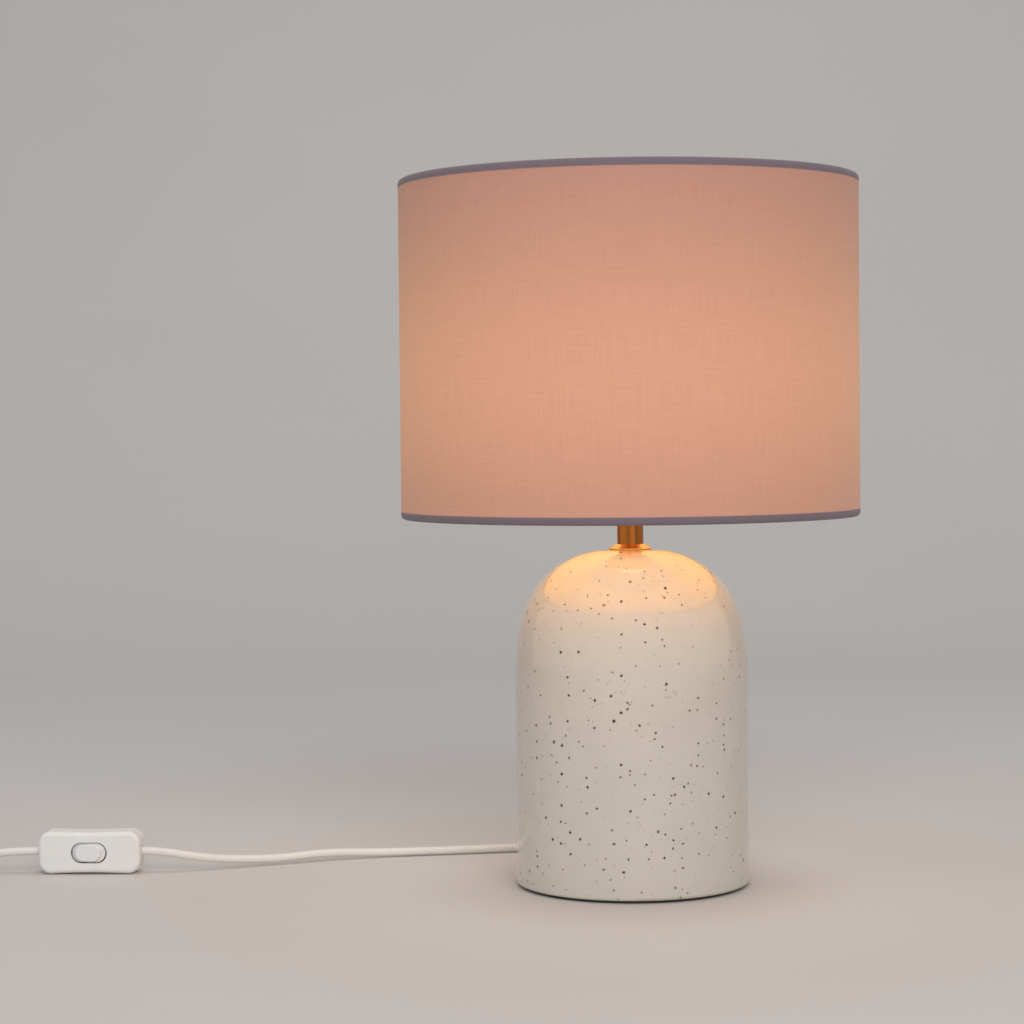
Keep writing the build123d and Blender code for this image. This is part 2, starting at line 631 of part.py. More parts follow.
# Cord bush in the back of the base, with the stop that keeps the cord from being pulled out
bush = disc(GROMMET_NECK_R, INNER_R - 2 * GROMMET_BARB_T, BASE_WALL + 2 * GROMMET_BARB_T)
bush += disc(GROMMET_BARB_R, INNER_R - 2 * GROMMET_BARB_T, GROMMET_BARB_T)
bush += disc(GROMMET_FLANGE_R, BASE_R - GROMMET_FLANGE_T, 2 * GROMMET_FLANGE_T)
nose = Cone(GROMMET_NOSE_R + GROMMET_TAPER, GROMMET_NOSE_R, GROMMET_NOSE_L, align=UP)
bush += Pos(0, 0, BASE_R + GROMMET_FLANGE_T) * nose
Y_NOSE = BASE_R + GROMMET_FLANGE_T + GROMMET_NOSE_L
cord_bore = disc(CORD_BORE_R, INNER_R - 2 * BASE_WALL, Y_NOSE)
grommet = to_back * (bush - cord_bore)
wall = disc(BASE_R, Z_FOOT, 2 * EXIT_Z, INNER_R) - to_back * disc(GROMMET_HOLE_R, 0, 2 * BASE_R)
parts["cord_grommet"] = grommet - wall
Y_STOP = INNER_R - 2 * GROMMET_BARB_T - STOP_L
parts["cord_stop"] = to_back * disc(STOP_R, Y_STOP, STOP_L, CORD_BORE_R)
Y_JOIN = BASE_R + GROMMET_FLANGE_T
inside_path = FilletPolyline(
    (0, Y_JOIN, EXIT_Z), (0, 0.4 * Y_JOIN, EXIT_Z), (0, 0, 0.4 * Z_CEILING), (0, 0, Z_GRIP), radius=6 * CORD_D
)
parts["cord_inside"] = tube(inside_path, CORD_R)
for name, x in (("core_live", -CORE_X), ("core_neutral", CORE_X)):
    start_x = CORE_R + CORE_GAP if x > 0 else -CORE_R - CORE_GAP
    core_path = FilletPolyline(
        (start_x, 0, Z_GRIP),
        (start_x, 0, Z_GRIP + LEDGE_H / 3),
        (x, 0, Z_LEDGE - LEDGE_H / 3),
        (x, 0, Z_CORE - CORE_GAP),
        radius=CORE_R + CORE_GAP,
    )
    parts[name] = tube(core_path, CORE_R)

# Switch shells, parted at mid thickness
FACE_Z = SWITCH_T / 2
INNER_Z = FACE_Z - SWITCH_WALL


def switch_plan(inset):
    """Waisted plan of the switch, drawn in from its outside by an inset."""
    x = SWITCH_L / 2 - inset
    y = SWITCH_W / 2 - inset
    edges = [
        ThreePointArc((-x, y), (0, y - SWITCH_WAIST), (x, y)),
        Line((x, y), (x, -y)),
        ThreePointArc((x, -y), (0, -y + SWITCH_WAIST), (-x, -y)),
        Line((-x, -y), (-x, y)),
    ]
    plan = make_face(edges)
    return fillet(plan.vertices(), SWITCH_CORNER_R - inset)


def stadium(length, width, height):
    """Round-ended bar on the XY plane."""
    return extrude(SlotOverall(length, width), height)


outside = switch_plan(0)
SWITCH_MID_Z = outside.bounding_box().max.Y
to_switch = Pos(SWITCH_X, SWITCH_Y, SWITCH_MID_Z) * Rot(90, 0, 0)
shell = extrude(outside, FACE_Z)
shell = fillet(shell.faces().sort_by(Axis.Z)[-1].edges(), SWITCH_EDGE_R)
room = extrude(switch_plan(SWITCH_WALL), INNER_Z)
case_spots = [(CASE_SCREW_X, CASE_SCREW_Y), (-CASE_SCREW_X, -CASE_SCREW_Y)]
case_posts = [Pos(x, y, 0) * disc(BOSS_R, 0, INNER_Z) for x, y in case_spots]
half = shell - room
for post in case_posts:
    half += post & room
cord_way = Rot(0, 90, 0) * Cylinder(CORD_BORE_R, 2 * SWITCH_L)

ROCKER_Z = FACE_Z - ROCKER_DEPTH
SLOT_L = ROCKER_L + 2 * ROCKER_GAP
SLOT_W = ROCKER_W + 2 * ROCKER_GAP
TRUNNION_END = ROCKER_W / 2 + TRUNNION_L
SADDLE_IN = SLOT_W / 2 + ROCKER_GAP / 2
SADDLE_OUT = SADDLE_IN + SADDLE_T
front = half - stadium(SLOT_L, SLOT_W, SWITCH_T)
for s in (-1, 1):
    y0, y1 = sorted((s * SADDLE_IN, s * SADDLE_OUT))
    front += block(-SADDLE_L / 2, SADDLE_L / 2, y0, y1, ROCKER_Z - TRUNNION_R - SADDLE_LIP, INNER_Z)
pin_way = Cylinder(TRUNNION_R + TRUNNION_GAP, 2 * TRUNNION_END + ROCKER_GAP)
pin_bore = Pos(0, 0, ROCKER_Z) * Rot(90, 0, 0) * pin_way
mouth_half = SADDLE_MOUTH / 2
mouth_y = TRUNNION_END + ROCKER_GAP / 4
front -= pin_bore
front -= block(-mouth_half, mouth_half, -mouth_y, mouth_y, 0, ROCKER_Z)
front -= cord_way
PILOT_L = INNER_Z - SWITCH_WALL
front -= [Pos(x, y, 0) * disc(SCREW_R + SCREW_GAP, 0, PILOT_L) for x, y in case_spots]
parts["switch_front_shell"] = to_switch * front

# Rear shell: the same tray turned over, with screw wells, clamp bosses and cord cradles
rear = Rot(180, 0, 0) * (half - [Pos(x, y, 0) * disc(BOSS_R, 0, INNER_Z) & room for x, y in case_spots])
WELL_R = SCREW_HEAD_R + ROCKER_GAP / 2
rear_room = Rot(180, 0, 0) * room
for x, y in case_spots:
    rear += Pos(x, y, 0) * disc(BOSS_R, -INNER_Z, INNER_Z) & rear_room
    rear -= Pos(x, y, 0) * disc(SCREW_R + SCREW_GAP, -SWITCH_T, 2 * SWITCH_T)
    rear -= Pos(x, y, 0) * disc(WELL_R, -FACE_Z, CASE_HEAD_DEPTH)
clamp_spots = [(x, y) for x in (-CLAMP_X, CLAMP_X) for y in (-CLAMP_SCREW_Y, CLAMP_SCREW_Y)]
CLAMP_Z = CORD_R + CORD_GAP
BOSS_TOP = CORD_R / 2
for x, y in clamp_spots:
    rear += Pos(x, y, 0) * disc(BOSS_R - 2 * SCREW_GAP, -INNER_Z - SWITCH_WALL / 2, INNER_Z + SWITCH_WALL / 2)
    rear -= Pos(x, y, 0) * disc(SCREW_R + SCREW_GAP, -INNER_Z + SWITCH_WALL, INNER_Z)
for x in (-CLAMP_X, CLAMP_X):
    rear += block(x - CLAMP_L / 2, x + CLAMP_L / 2, -CORD_R, CORD_R, -INNER_Z - SWITCH_WALL / 2, -CORD_R / 2)
rear -= cord_way
parts["switch_rear_shell"] = to_switch * rear

# Rocker on two trunnions, resting in its on position, with the plunger under it
END_Z = ROCKER_DEPTH - ROCKER_SINK
half_l = ROCKER_L / 2
rocker_side = Polyline(
    (-half_l, 0, END_Z),
    (half_l, 0, END_Z),
    (half_l, 0, -ROCKER_SIDE),
    (half_l / 2, 0, -ROCKER_BELLY),
    (-half_l / 2, 0, -ROCKER_BELLY),
    (-half_l, 0, -ROCKER_SIDE),
    close=True,
)
rocker = extrude(make_face(rocker_side), ROCKER_W / 2, both=True)
rocker &= Pos(0, 0, -ROCKER_W) * stadium(ROCKER_L, ROCKER_W, 2 * ROCKER_W)
across = Rot(90, 0, 0)
rocker &= across * Cylinder(half_l + ROCKER_GAP / 3, 2 * ROCKER_W)
pad = stadium(ROCKER_PAD_L, ROCKER_PAD_W, ROCKER_DEPTH + ROCKER_PAD_RISE)
rocker += fillet(pad.faces().sort_by(Axis.Z)[-1].edges(), ROCKER_PAD_EDGE_R)
rocker += across * Cylinder(TRUNNION_R, 2 * TRUNNION_END)
rocker += disc(BARREL_R, -ROCKER_BELLY - BARREL_H, BARREL_H + ROCKER_BELLY / 2)
PLUNGER_TOP = -ROCKER_BELLY - BARREL_H + PLUNGER_DEPTH
SOCKET_TOP = PLUNGER_TOP + SPRING_L
rocker -= disc(PLUNGER_R + PLUNGER_GAP, -PLUNGER_REACH, PLUNGER_REACH + SOCKET_TOP)
at_rocker = to_switch * Pos(0, 0, ROCKER_Z) * Rot(0, ROCKER_REST, 0)
parts["switch_rocker"] = at_rocker * rocker
tip_z = -PLUNGER_REACH + PLUNGER_R
plunger = disc(PLUNGER_R, tip_z, PLUNGER_TOP - tip_z) + Pos(0, 0, tip_z) * Sphere(PLUNGER_R)
parts["switch_plunger"] = at_rocker * plunger
SPRING_RISE = (SPRING_L - 2 * SPRING_WIRE_R - 2 * PLUNGER_GAP) / SPRING_TURNS
wire_spots = []
for i in range(4 * SPRING_TURNS + 1):
    a = i * pi / 2
    spot = Vector(SPRING_R * cos(a), SPRING_R * sin(a), i * SPRING_RISE / 4)
    way = Vector(-SPRING_R * sin(a), SPRING_R * cos(a), SPRING_RISE / (2 * pi)).normalized()
    wire_spots.append((spot, way))
spring_edges = []
for (p0, t0), (p1, t1) in zip(wire_spots, wire_spots[1:]):
    spring_edges += biarc(p0, t0, p1, t1)
spring = tube(Wire([edge for piece in spring_edges for edge in piece.edges()]), SPRING_WIRE_R)
print("switch_spring least gap to itself", round(SPRING_RISE - 2 * SPRING_WIRE_R, 2))
parts["switch_spring"] = at_rocker * Pos(0, 0, PLUNGER_TOP + SPRING_WIRE_R + PLUNGER_GAP) * spring

# See-saw contact under the plunger, its pin held by the ears of the pivot terminal
SEESAW_Z = ROCKER_Z - PLUNGER_REACH - SEESAW_DROP - SEESAW_T - SEESAW_PIN_R / 2
lift = tan(radians(SEESAW_RISE)) * SEESAW_ARM
low = SEESAW_PIN_R / 2
vee = [(-SEESAW_ARM, low + lift), (0, low), (SEESAW_ARM, low + lift)]
vee += [(SEESAW_ARM, low + lift + SEESAW_T), (0, low + SEESAW_T), (-SEESAW_ARM, low + lift + SEESAW_T)]
seesaw = extrude(make_face(Polyline(*[(x, 0, z) for x, z in vee], close=True)), SEESAW_W / 2, both=True)
PIN_HALF = SEESAW_W / 2 + EAR_GAP + EAR_T
seesaw += across * Cylinder(SEESAW_PIN_R, 2 * PIN_HALF)
rivet_tilt = Rot(0, -SEESAW_RISE, 0)
rivet = rivet_tilt * Pos(RIVET_X, 0, low - RIVET_H) * Cylinder(RIVET_R, RIVET_H + SEESAW_T / 2, align=UP)
seesaw += rivet
at_seesaw = to_switch * Pos(0, 0, SEESAW_Z) * Rot(0, SEESAW_REST, 0)
parts["switch_seesaw"] = at_seesaw * seesaw
FLOOR_Z = -INNER_Z
PLATE_Z = FLOOR_Z + PLATE_T
EAR_L = 2 * SEESAW_PIN_R + 2 * EAR_T
EAR_Y = SEESAW_W / 2 + EAR_GAP
pivot = block(-EAR_L / 2, EAR_L / 2, -EAR_Y - EAR_T, EAR_Y + EAR_T, FLOOR_Z, PLATE_Z)
plate_y0 = PLATE_Y - PLATE_W / 2
plate_y1 = PLATE_Y + PLATE_W / 2
PLATE_END = PLATE_X + PLATE_W / 2
pivot += block(-PLATE_END, 0, plate_y0, plate_y1, FLOOR_Z, PLATE_Z)
for y0, y1 in ((-EAR_Y - EAR_T, -EAR_Y), (EAR_Y, EAR_Y + EAR_T)):
    pivot += block(-EAR_L / 2, EAR_L / 2, y0, y1, FLOOR_Z, SEESAW_Z + SEESAW_PIN_R + EAR_T)
pivot -= Pos(0, 0, SEESAW_Z) * across * Cylinder(SEESAW_PIN_R + SEESAW_PIN_GAP, 4 * EAR_Y)
ON_TURN = radians(SEESAW_RISE - SEESAW_REST)
PAD_Z = SEESAW_Z + (RIVET_X - RIVET_R) * sin(ON_TURN) + (low - RIVET_H) * cos(ON_TURN) - RIVET_GAP
PAD_X = RIVET_X * cos(ON_TURN)
fixed = block(PAD_X - RIVET_R, PLATE_END, plate_y0, plate_y1, FLOOR_Z, PLATE_Z)
fixed += block(PAD_X - RIVET_R, PAD_X + RIVET_R, -RIVET_R, plate_y1, FLOOR_Z, PLATE_Z)
fixed += Pos(PAD_X, 0, 0) * disc(RIVET_R, FLOOR_Z, PAD_Z - FLOOR_Z)
link = block(-PLATE_END, PLATE_END, LINK_Y - LINK_W / 2, LINK_Y + LINK_W / 2, FLOOR_Z, PLATE_Z)
plate_spots = [(x, y) for x in (-PLATE_X, PLATE_X) for y in (PLATE_Y, LINK_Y)]
plate_holes = [Pos(x, y, 0) * disc(SCREW_R + SCREW_GAP, FLOOR_Z, PLATE_T) for x, y in plate_spots]
parts["switch_pivot_terminal"] = to_switch * (pivot - plate_holes)
parts["switch_fixed_terminal"] = to_switch * (fixed - plate_holes)
parts["switch_neutral_link"] = to_switch * (link - plate_holes)


def screw(length):
    """Slotted pan-head screw, head seat at z = 0 and shank below it."""
    head = disc(SCREW_HEAD_R, 0, SCREW_HEAD_T)
    slot_y = SCREW_SLOT_W / 2
    head -= block(-SCREW_HEAD_R, SCREW_HEAD_R, -slot_y, slot_y, SCREW_HEAD_T / 2, SCREW_HEAD_T)
    return head + disc(SCREW_R, -length, length)


plate_screw = screw(PLATE_T - SCREW_GAP)
parts["switch_terminal_screws"] = Compound(
    [to_switch * Pos(x, y, PLATE_Z) * plate_screw for x, y in plate_spots]
)

# Cord clamps across the cord ends, and the screws that close the case from behind
clamp = block(-CLAMP_L / 2, CLAMP_L / 2, -CLAMP_W / 2, CLAMP_W / 2, CLAMP_Z, CLAMP_Z + CLAMP_T)
for y in (-CLAMP_SCREW_Y, CLAMP_SCREW_Y):
    clamp += Pos(0, y, 0) * disc(CLAMP_L / 2, 0, CLAMP_Z)
    clamp -= Pos(0, y, 0) * disc(SCREW_R + SCREW_GAP, 0, 2 * CLAMP_Z + CLAMP_T)
parts["switch_cord_clamps"] = Compound([to_switch * Pos(x, 0, 0) * clamp for x in (-CLAMP_X, CLAMP_X)])
clamp_screw = screw(CLAMP_T + CLAMP_Z + INNER_Z / 2)
clamp_top = CLAMP_Z + CLAMP_T
parts["switch_clamp_screws"] = Compound(
    [to_switch * Pos(x, y, clamp_top) * clamp_screw for x, y in clamp_spots]
)
case_screw = screw(FACE_Z - CASE_HEAD_DEPTH + PILOT_L / 2)
case_seat = CASE_HEAD_DEPTH - FACE_Z
parts["switch_case_screws"] = Compound(
    [to_switch * Pos(x, y, case_seat) * Rot(180, 0, 0) * case_screw for x, y in case_spots]
)

# Free cord from the bush, round behind the base and along the table to the switch
to_switch_points = [
    (0, Y_JOIN, EXIT_Z),
    (0, 87.5, EXIT_Z),
    (-12.5, 106, 8.4),
    (-34, 111, 4),
    (-63, 103, 2.4),
    (-104, 96.3, 2.4),
    (-148, 87, 2.5),
    (-177, 76.5, 4.6),
    (-204, 63, 3.2),
    (-230, 51.5, 4.6),
    (-251.5, 42.6, 8),
    (-270, SWITCH_Y, SWITCH_MID_Z),
    (SWITCH_X + SWITCH_CORD_X, SWITCH_Y, SWITCH_MID_Z),
]
parts["cord_base_to_switch"] = free_cord("cord_base_to_switch", to_switch_points)

# Put-away cord: four layers that spiral in and out, climbing a layer where the spiral reverses
COIL_STEP = CORD_D + COIL_GAP
COIL_Z = TIE_T + TIE_GAP + CORD_R
inner = COIL_R - 1.5 * COIL_STEP
outer = COIL_R + 0.5 * COIL_STEP
inwards = [COIL_R, COIL_R - 0.5 * COIL_STEP, COIL_R - COIL_STEP]
coil_plan = []
for layer in range(COIL_LAYERS):
    radii = inwards if layer % 2 == 0 else inwards[::-1]
    coil_plan += [(radius, False) for radius in radii]
    coil_plan.append((inner if layer % 2 == 0 else outer, True))
coil_plan = coil_plan[:-2]

here = Vector(COIL_X, COIL_TOP_Y, COIL_Z)
coil_start = here + Vector(CORD_D, 0, 0)
coil_edges = [Line(coil_start, here)]
side = -1
for radius, climbs in coil_plan:
    rise = COIL_STEP if climbs else 0.0
    there = here + Vector(0, 2 * side * radius, rise)
    middle = here + Vector(side * radius, side * radius, rise / 2)
    if climbs:
        tilt = Vector(0, side, 2 * rise / (pi * radius)).normalized()
        coil_edges += biarc(here, Vector(side, 0, 0), middle, tilt)
        coil_edges += biarc(middle, tilt, there, Vector(-side, 0, 0))
    else:
        coil_edges.append(ThreePointArc(here, middle, there))
    here = there
    side = -side
corner = here + Vector(-COIL_R * sin(pi / 4), -COIL_R * (1 - cos(pi / 4)), 0)
there = here + Vector(-COIL_R, -COIL_R, 0)
coil_edges.append(ThreePointArc(here, corner, there))
coil_end = there + Vector(0, -CORD_D, 0)
coil_edges.append(Line(there, coil_end))
coil_path = Wire([edge for piece in coil_edges for edge in piece.edges()])
parts["cord_coil"] = tube(coil_path, CORD_R)

COIL_SAMPLES = int(coil_path.length / 2)
spots = [coil_path @ (i / COIL_SAMPLES) for i in range(COIL_SAMPLES + 1)]
skip = int(4 * CORD_D / 2)
least = min((spots[j] - spots[i]).length for i in range(len(spots)) for j in range(i + skip, len(spots)))
print("cord_coil length", round(coil_path.length, 1), "least gap to itself", round(least - CORD_D, 2))

# Tie round the bundle at the near side of the coil
low_y = COIL_TOP_Y - 2 * COIL_R
TIE_IN_Y0 = low_y - COIL_STEP - CORD_R - TIE_GAP
TIE_BOW = TIE_W**2 / (8 * inner)
TIE_IN_Y1 = low_y + COIL_STEP + CORD_R + TIE_GAP + TIE_BOW
TIE_IN_Z1 = COIL_Z + (COIL_LAYERS - 1) * COIL_STEP + CORD_R + TIE_GAP
tie = block(-TIE_W / 2, TIE_W / 2, TIE_IN_Y0 - TIE_T, TIE_IN_Y1 + TIE_T, 0, TIE_IN_Z1 + TIE_T)
tie = fillet(tie.edges().filter_by(Axis.X), 2 * TIE_T)
hole = block(-TIE_W, TIE_W, TIE_IN_Y0, TIE_IN_Y1, TIE_T, TIE_IN_Z1)
tie -= fillet(hole.edges().filter_by(Axis.X), TIE_T)
tie += block(-TIE_W / 2, TIE_W / 2, TIE_IN_Y0, TIE_IN_Y0 + TIE_TAB, TIE_IN_Z1 + TIE_T, TIE_IN_Z1 + 2 * TIE_T)
parts["coil_tie"] = Pos(COIL_X, 0, 0) * tie

# Cord from the switch down to the coil
to_coil_points = [
    (SWITCH_X - SWITCH_CORD_X, SWITCH_Y, SWITCH_MID_Z),
    (-350, SWITCH_Y, SWITCH_MID_Z),
    (-370, 37.6, 7.6),
    (coil_start.X + 12, coil_start.Y, coil_start.Z),
    tuple(coil_start),
]
parts["cord_switch_to_coil"] = free_cord("cord_switch_to_coil", to_coil_points)

# Flat two-pin plug beside the coil, with its ribbed strain relief
to_plug = Pos(coil_end.X, PLUG_FACE_Y, PLUG_T / 2) * Rot(0, 0, -90)
w = PLUG_W / 2
tail_w = PLUG_TAIL_W / 2
plan = make_face(
    [
        ThreePointArc((0, w), (-PLUG_GRIP / 2, w - PLUG_WAIST), (-PLUG_GRIP, w)),
        Line((-PLUG_GRIP, w), (-PLUG_L, tail_w)),
        Line((-PLUG_L, tail_w), (-PLUG_L, -tail_w)),
        Line((-PLUG_L, -tail_w), (-PLUG_GRIP, -w)),
        ThreePointArc((-PLUG_GRIP, -w), (-PLUG_GRIP / 2, -w + PLUG_WAIST), (0, -w)),
        Line((0, -w), (0, w)),
    ]
)
t = PLUG_T / 2
tail_t = PLUG_TAIL_T / 2
profile = [(0, t), (-PLUG_GRIP, t), (-PLUG_L, tail_t), (-PLUG_L, -tail_t), (-PLUG_GRIP, -t), (0, -t)]
side_face = make_face(Polyline(*[(x, 0, z) for x, z in profile], close=True))
plug = extrude(plan, PLUG_T, both=True) & extrude(side_face, PLUG_W, both=True)
plug = fillet(plug.edges().filter_by(lambda e: e.center().X < -0.01), PLUG_EDGE_R)
relief = [(0, 0), (RELIEF_ROOT_R, 0)]
rib = RELIEF_L / (RELIEF_GROOVES + 1)
for i in range(1, RELIEF_GROOVES + 1):
    z = i * rib
    r = RELIEF_ROOT_R + (RELIEF_TIP_R - RELIEF_ROOT_R) * z / RELIEF_L
    floor_r = CORD_BORE_R + (r - CORD_BORE_R) / 2
    relief += [(r, z - RELIEF_GROOVE), (floor_r, z - RELIEF_GROOVE), (floor_r, z), (r, z)]
relief += [(RELIEF_TIP_R, RELIEF_L), (0, RELIEF_L)]
tail = Pos(-PLUG_L, 0, 0) * Rot(0, -90, 0)
plug += tail * turned_points(*relief)
plug -= tail * disc(CORD_BORE_R, RELIEF_L - RELIEF_SOCKET, RELIEF_SOCKET)
pin_spots = [Pos(0, y, 0) * Rot(0, 90, 0) for y in (-PIN_SPACING / 2, PIN_SPACING / 2)]
plug -= [spot * disc(PIN_CORE_R + SLEEVE_GAP, -PIN_ROOT, PIN_ROOT) for spot in pin_spots]
pin = disc(PIN_CORE_R, -PIN_ROOT, PIN_ROOT + SLEEVE_L) + disc(PIN_R, SLEEVE_L, PIN_L - SLEEVE_L - PIN_R / 2)
pin += Pos(0, 0, PIN_L - PIN_R / 2) * Cone(PIN_R, PIN_R / 2, PIN_R / 2, align=UP)
parts["plug_body"] = to_plug * plug
parts["plug_pins"] = Compound([to_plug * spot * pin for spot in pin_spots])
sleeve = disc(SLEEVE_R, 0, SLEEVE_L, PIN_CORE_R + SLEEVE_GAP)
parts["plug_pin_sleeves"] = Compound([to_plug * spot * sleeve for spot in pin_spots])

# Cord from the coil down to the plug
Y_SOCKET = PLUG_FACE_Y + PLUG_L + RELIEF_L - RELIEF_SOCKET
to_plug_points = [
    tuple(coil_end),
    (coil_end.X, coil_end.Y - 12, coil_end.Z),
    (coil_end.X + 0.6, coil_end.Y - 26, 12.4),
    (coil_end.X, Y_SOCKET + 28, PLUG_T / 2),
    (coil_end.X, Y_SOCKET, PLUG_T / 2),
]
parts["cord_coil_to_plug"] = free_cord("cord_coil_to_plug", to_plug_points)

os.makedirs("parts", exist_ok=True)
for name, shape in parts.items():
    export_step(shape, f"parts/{name}.step")
print(len(parts), "nodes")
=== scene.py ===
"""Table lamp with a speckled ceramic base, a brass neck and a lit fabric drum shade.

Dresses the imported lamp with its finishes, lays its cord and sets up the studio.
"""

import math
from functools import cache

import bmesh
import bpy
from bpy.props import FloatProperty, FloatVectorProperty, PointerProperty
from mathutils import Matrix, Vector


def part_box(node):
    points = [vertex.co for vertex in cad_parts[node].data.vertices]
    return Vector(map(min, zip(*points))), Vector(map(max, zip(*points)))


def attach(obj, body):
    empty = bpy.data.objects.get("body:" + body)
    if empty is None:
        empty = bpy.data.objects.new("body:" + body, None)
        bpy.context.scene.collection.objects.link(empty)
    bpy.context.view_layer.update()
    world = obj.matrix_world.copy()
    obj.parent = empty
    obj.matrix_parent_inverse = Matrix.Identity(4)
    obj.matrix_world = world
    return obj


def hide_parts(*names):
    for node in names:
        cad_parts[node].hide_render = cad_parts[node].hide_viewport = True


bl_info = {
    "name": "Speckled Table Lamp",
    "version": (1, 0, 0),
    "blender": (4, 5, 0),
    "location": "View3D > Sidebar > Lamp",
    "description": "Finishes, shade, cord and studio of a table lamp",
    "category": "Object",
}

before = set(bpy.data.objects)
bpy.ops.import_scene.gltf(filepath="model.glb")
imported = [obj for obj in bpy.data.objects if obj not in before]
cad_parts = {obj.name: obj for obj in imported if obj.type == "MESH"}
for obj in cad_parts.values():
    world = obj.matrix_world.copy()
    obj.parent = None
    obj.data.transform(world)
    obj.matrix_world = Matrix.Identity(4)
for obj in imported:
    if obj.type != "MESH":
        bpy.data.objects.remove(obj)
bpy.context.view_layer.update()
MM = 0.001

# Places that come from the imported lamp
SHADE_LOW, SHADE_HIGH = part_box("shade_fabric")
SHADE_R = SHADE_HIGH.x
BULB_LOW, BULB_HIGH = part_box("bulb_glass")
GLOBE_R = BULB_HIGH.x
GLOBE_Z = BULB_HIGH.z - GLOBE_R
SWITCH_LOW, SWITCH_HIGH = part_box("switch_front_shell")
SWITCH_MID_Z = (SWITCH_LOW.z + SWITCH_HIGH.z) / 2
TIE_LOW, TIE_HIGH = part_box("coil_tie")

# Shade fabric
FABRIC_T = 0.6 * MM
HEM_R = 2.0 * MM
HEM_TURN = 250.0
HEM_BAND = 4.2 * MM
BAND_LOW = SHADE_LOW.z + HEM_BAND
BAND_HIGH = SHADE_HIGH.z - HEM_BAND
HEM_PROUD = 0.12 * MM
HEM_STEP = 0.5 * MM
SEAM_W = 10.0 * MM
SEAM_AT = 60.0
SEAM_EDGE = 0.15 * MM
SHADE_AROUND = 288
SHARP_EDGE = 40.0
SLUB_W = 0.16 * MM
SLUB_T = 0.07 * MM
SLUB_MARGIN = 4.0 * MM
SLUB_SEED = 11
SLUB_WAY_SEED = 3
SLUB_LENGTH_SEED = 5
SLUB_SHORTEST = 0.35
SLUB_DETAIL = (6, 5)
SEAM_STEPS = 4

# Light of the bulb on the cotton, its slubs and the film: far from the bulb, and level with it
CLOTH_GLOW = (0.02, 0.30)
SLUB_GLOW = (0.02, 0.20)
FILM_GLOW = (0.2, 0.75)
GLOW_FALLOFF = -2.2
BULB_TINT = (1.0, 0.58, 0.22)

# How the cotton takes light: painted shadow between threads and over slubs, tone as factor and offset, and
# what dims the glow
CLOTH_SHADOW = 0.10
CLOTH_DARKEST = 0.45
CLOTH_TONE = (0.18, 0.91)
GLOW_TONE = (0.52, 0.74)
GLOW_THROUGH = 1.08
SLUB_DIMS = 0.35
LAP_DIMS = 0.45
SLUB_RISE = 0.6

# Threads of the weave: streaks per metre across and along them, thick places, and width of a crossing
STREAKS_ACROSS = 1300.0
STREAKS_ALONG = 40.0
THICK_PLACE = (0.66, 0.76)
CROSSING = 0.35

# Iron specks: ragged edge, crowding as factor and offset, and two sizes as shares of spacing and radius
SPECK_RAGGED = 900.0
SPECK_SHIFT = 1.1 * MM
SPECK_CROWDS = 38.0
SPECK_DENSITY = (1.1, 0.45)
SPECK_LEAST = 0.35
SPECK_SIZES = ((1.0, 1.0), (0.55, 0.42))
LARGE_SPECK_EDGE = (0.80, 1.05)
SMALL_SPECK_EDGE = (0.7, 1.1)
HALO_EDGE = (0.8, 2.0)
SMALL_SPECK_SHARE = 0.8

# Glaze: clouding, halo, roughness and coat, with what a speck changes
GLAZE_CLOUD = 0.07
HALO_TINT = (0.36, 0.25, 0.16)
HALO_SHARE = 0.35
GLAZE_ROUGH = 0.13
SPECK_ROUGH = 0.35
SPECK_DULL = 0.75
SPECK_PIT = 0.08

# Grain of plain surfaces: patches of tone as multiples of the grain, relief and roughness that varies
GRAIN_PATCH = 9.0
GRAIN_RELIEF = 0.2 * MM
METAL_ROUGH_VARIES = 0.12
MOULDED_ROUGH_VARIES = 0.10

# Moulded finishes: colour or lamp finish, its share, roughness, grain in millimetres, relief
MOULDED = {
    "cord_sheath": ("sheath", 1.0, 0.38, 0.7, 0.12),
    "pad_foam": ((0.045, 0.040, 0.036), 1.0, 0.85, 0.5, 0.5),
    "bush_plastic": ("sheath", 0.94, 0.45, 0.6, 0.12),
    "core_brown": ((0.16, 0.07, 0.03), 1.0, 0.4, 0.6, 0.1),
    "core_blue": ((0.04, 0.12, 0.42), 1.0, 0.4, 0.6, 0.1),
    "washer_rubber": ((0.03, 0.03, 0.03), 1.0, 0.75, 0.6, 0.3),
    "holder_plastic": ("plastic", 0.96, 0.42, 0.9, 0.15),
    "insert_steatite": ((0.66, 0.63, 0.56), 1.0, 0.7, 0.5, 0.3),
    "cap_insulator": ((0.02, 0.02, 0.022), 1.0, 0.25, 0.8, 0.1),
    "filament_coat": ((0.85, 0.60, 0.12), 1.0, 0.6, 0.3, 0.3),
    "frame_powder_coat": ((0.74, 0.72, 0.69), 1.0, 0.42, 0.35, 0.25),
    "switch_plastic": ("plastic", 1.0, 0.30, 0.8, 0.10),
    "plug_plastic": ("plastic", 0.97, 0.36, 0.8, 0.12),
    "pin_sleeve": ((0.70, 0.69, 0.67), 1.0, 0.4, 0.6, 0.1),
    "tie_thread": ("sheath", 0.8, 0.8, 0.3, 0.3),
}

# Metal finishes: colour or lamp finish, roughness, and streaks per metre along each axis where lengthwise
# streaks are painted as reflections on drawn metal
METALS = {
    "neck_brass": ("brass", 0.10, (420.0, 420.0, 6.0)),
    # Flange: same brass as the tube, drawn paler as a painted highlight
    "flange_brass": ("flange_highlight", 0.14, ()),
    "zinc_steel": ("steel", 0.30, ()),
    "contact_brass": ((0.72, 0.52, 0.24), 0.28, ()),
    "cap_metal": ((0.66, 0.65, 0.62), 0.28, ()),
    "pin_nickel": ((0.70, 0.68, 0.64), 0.18, ()),
}

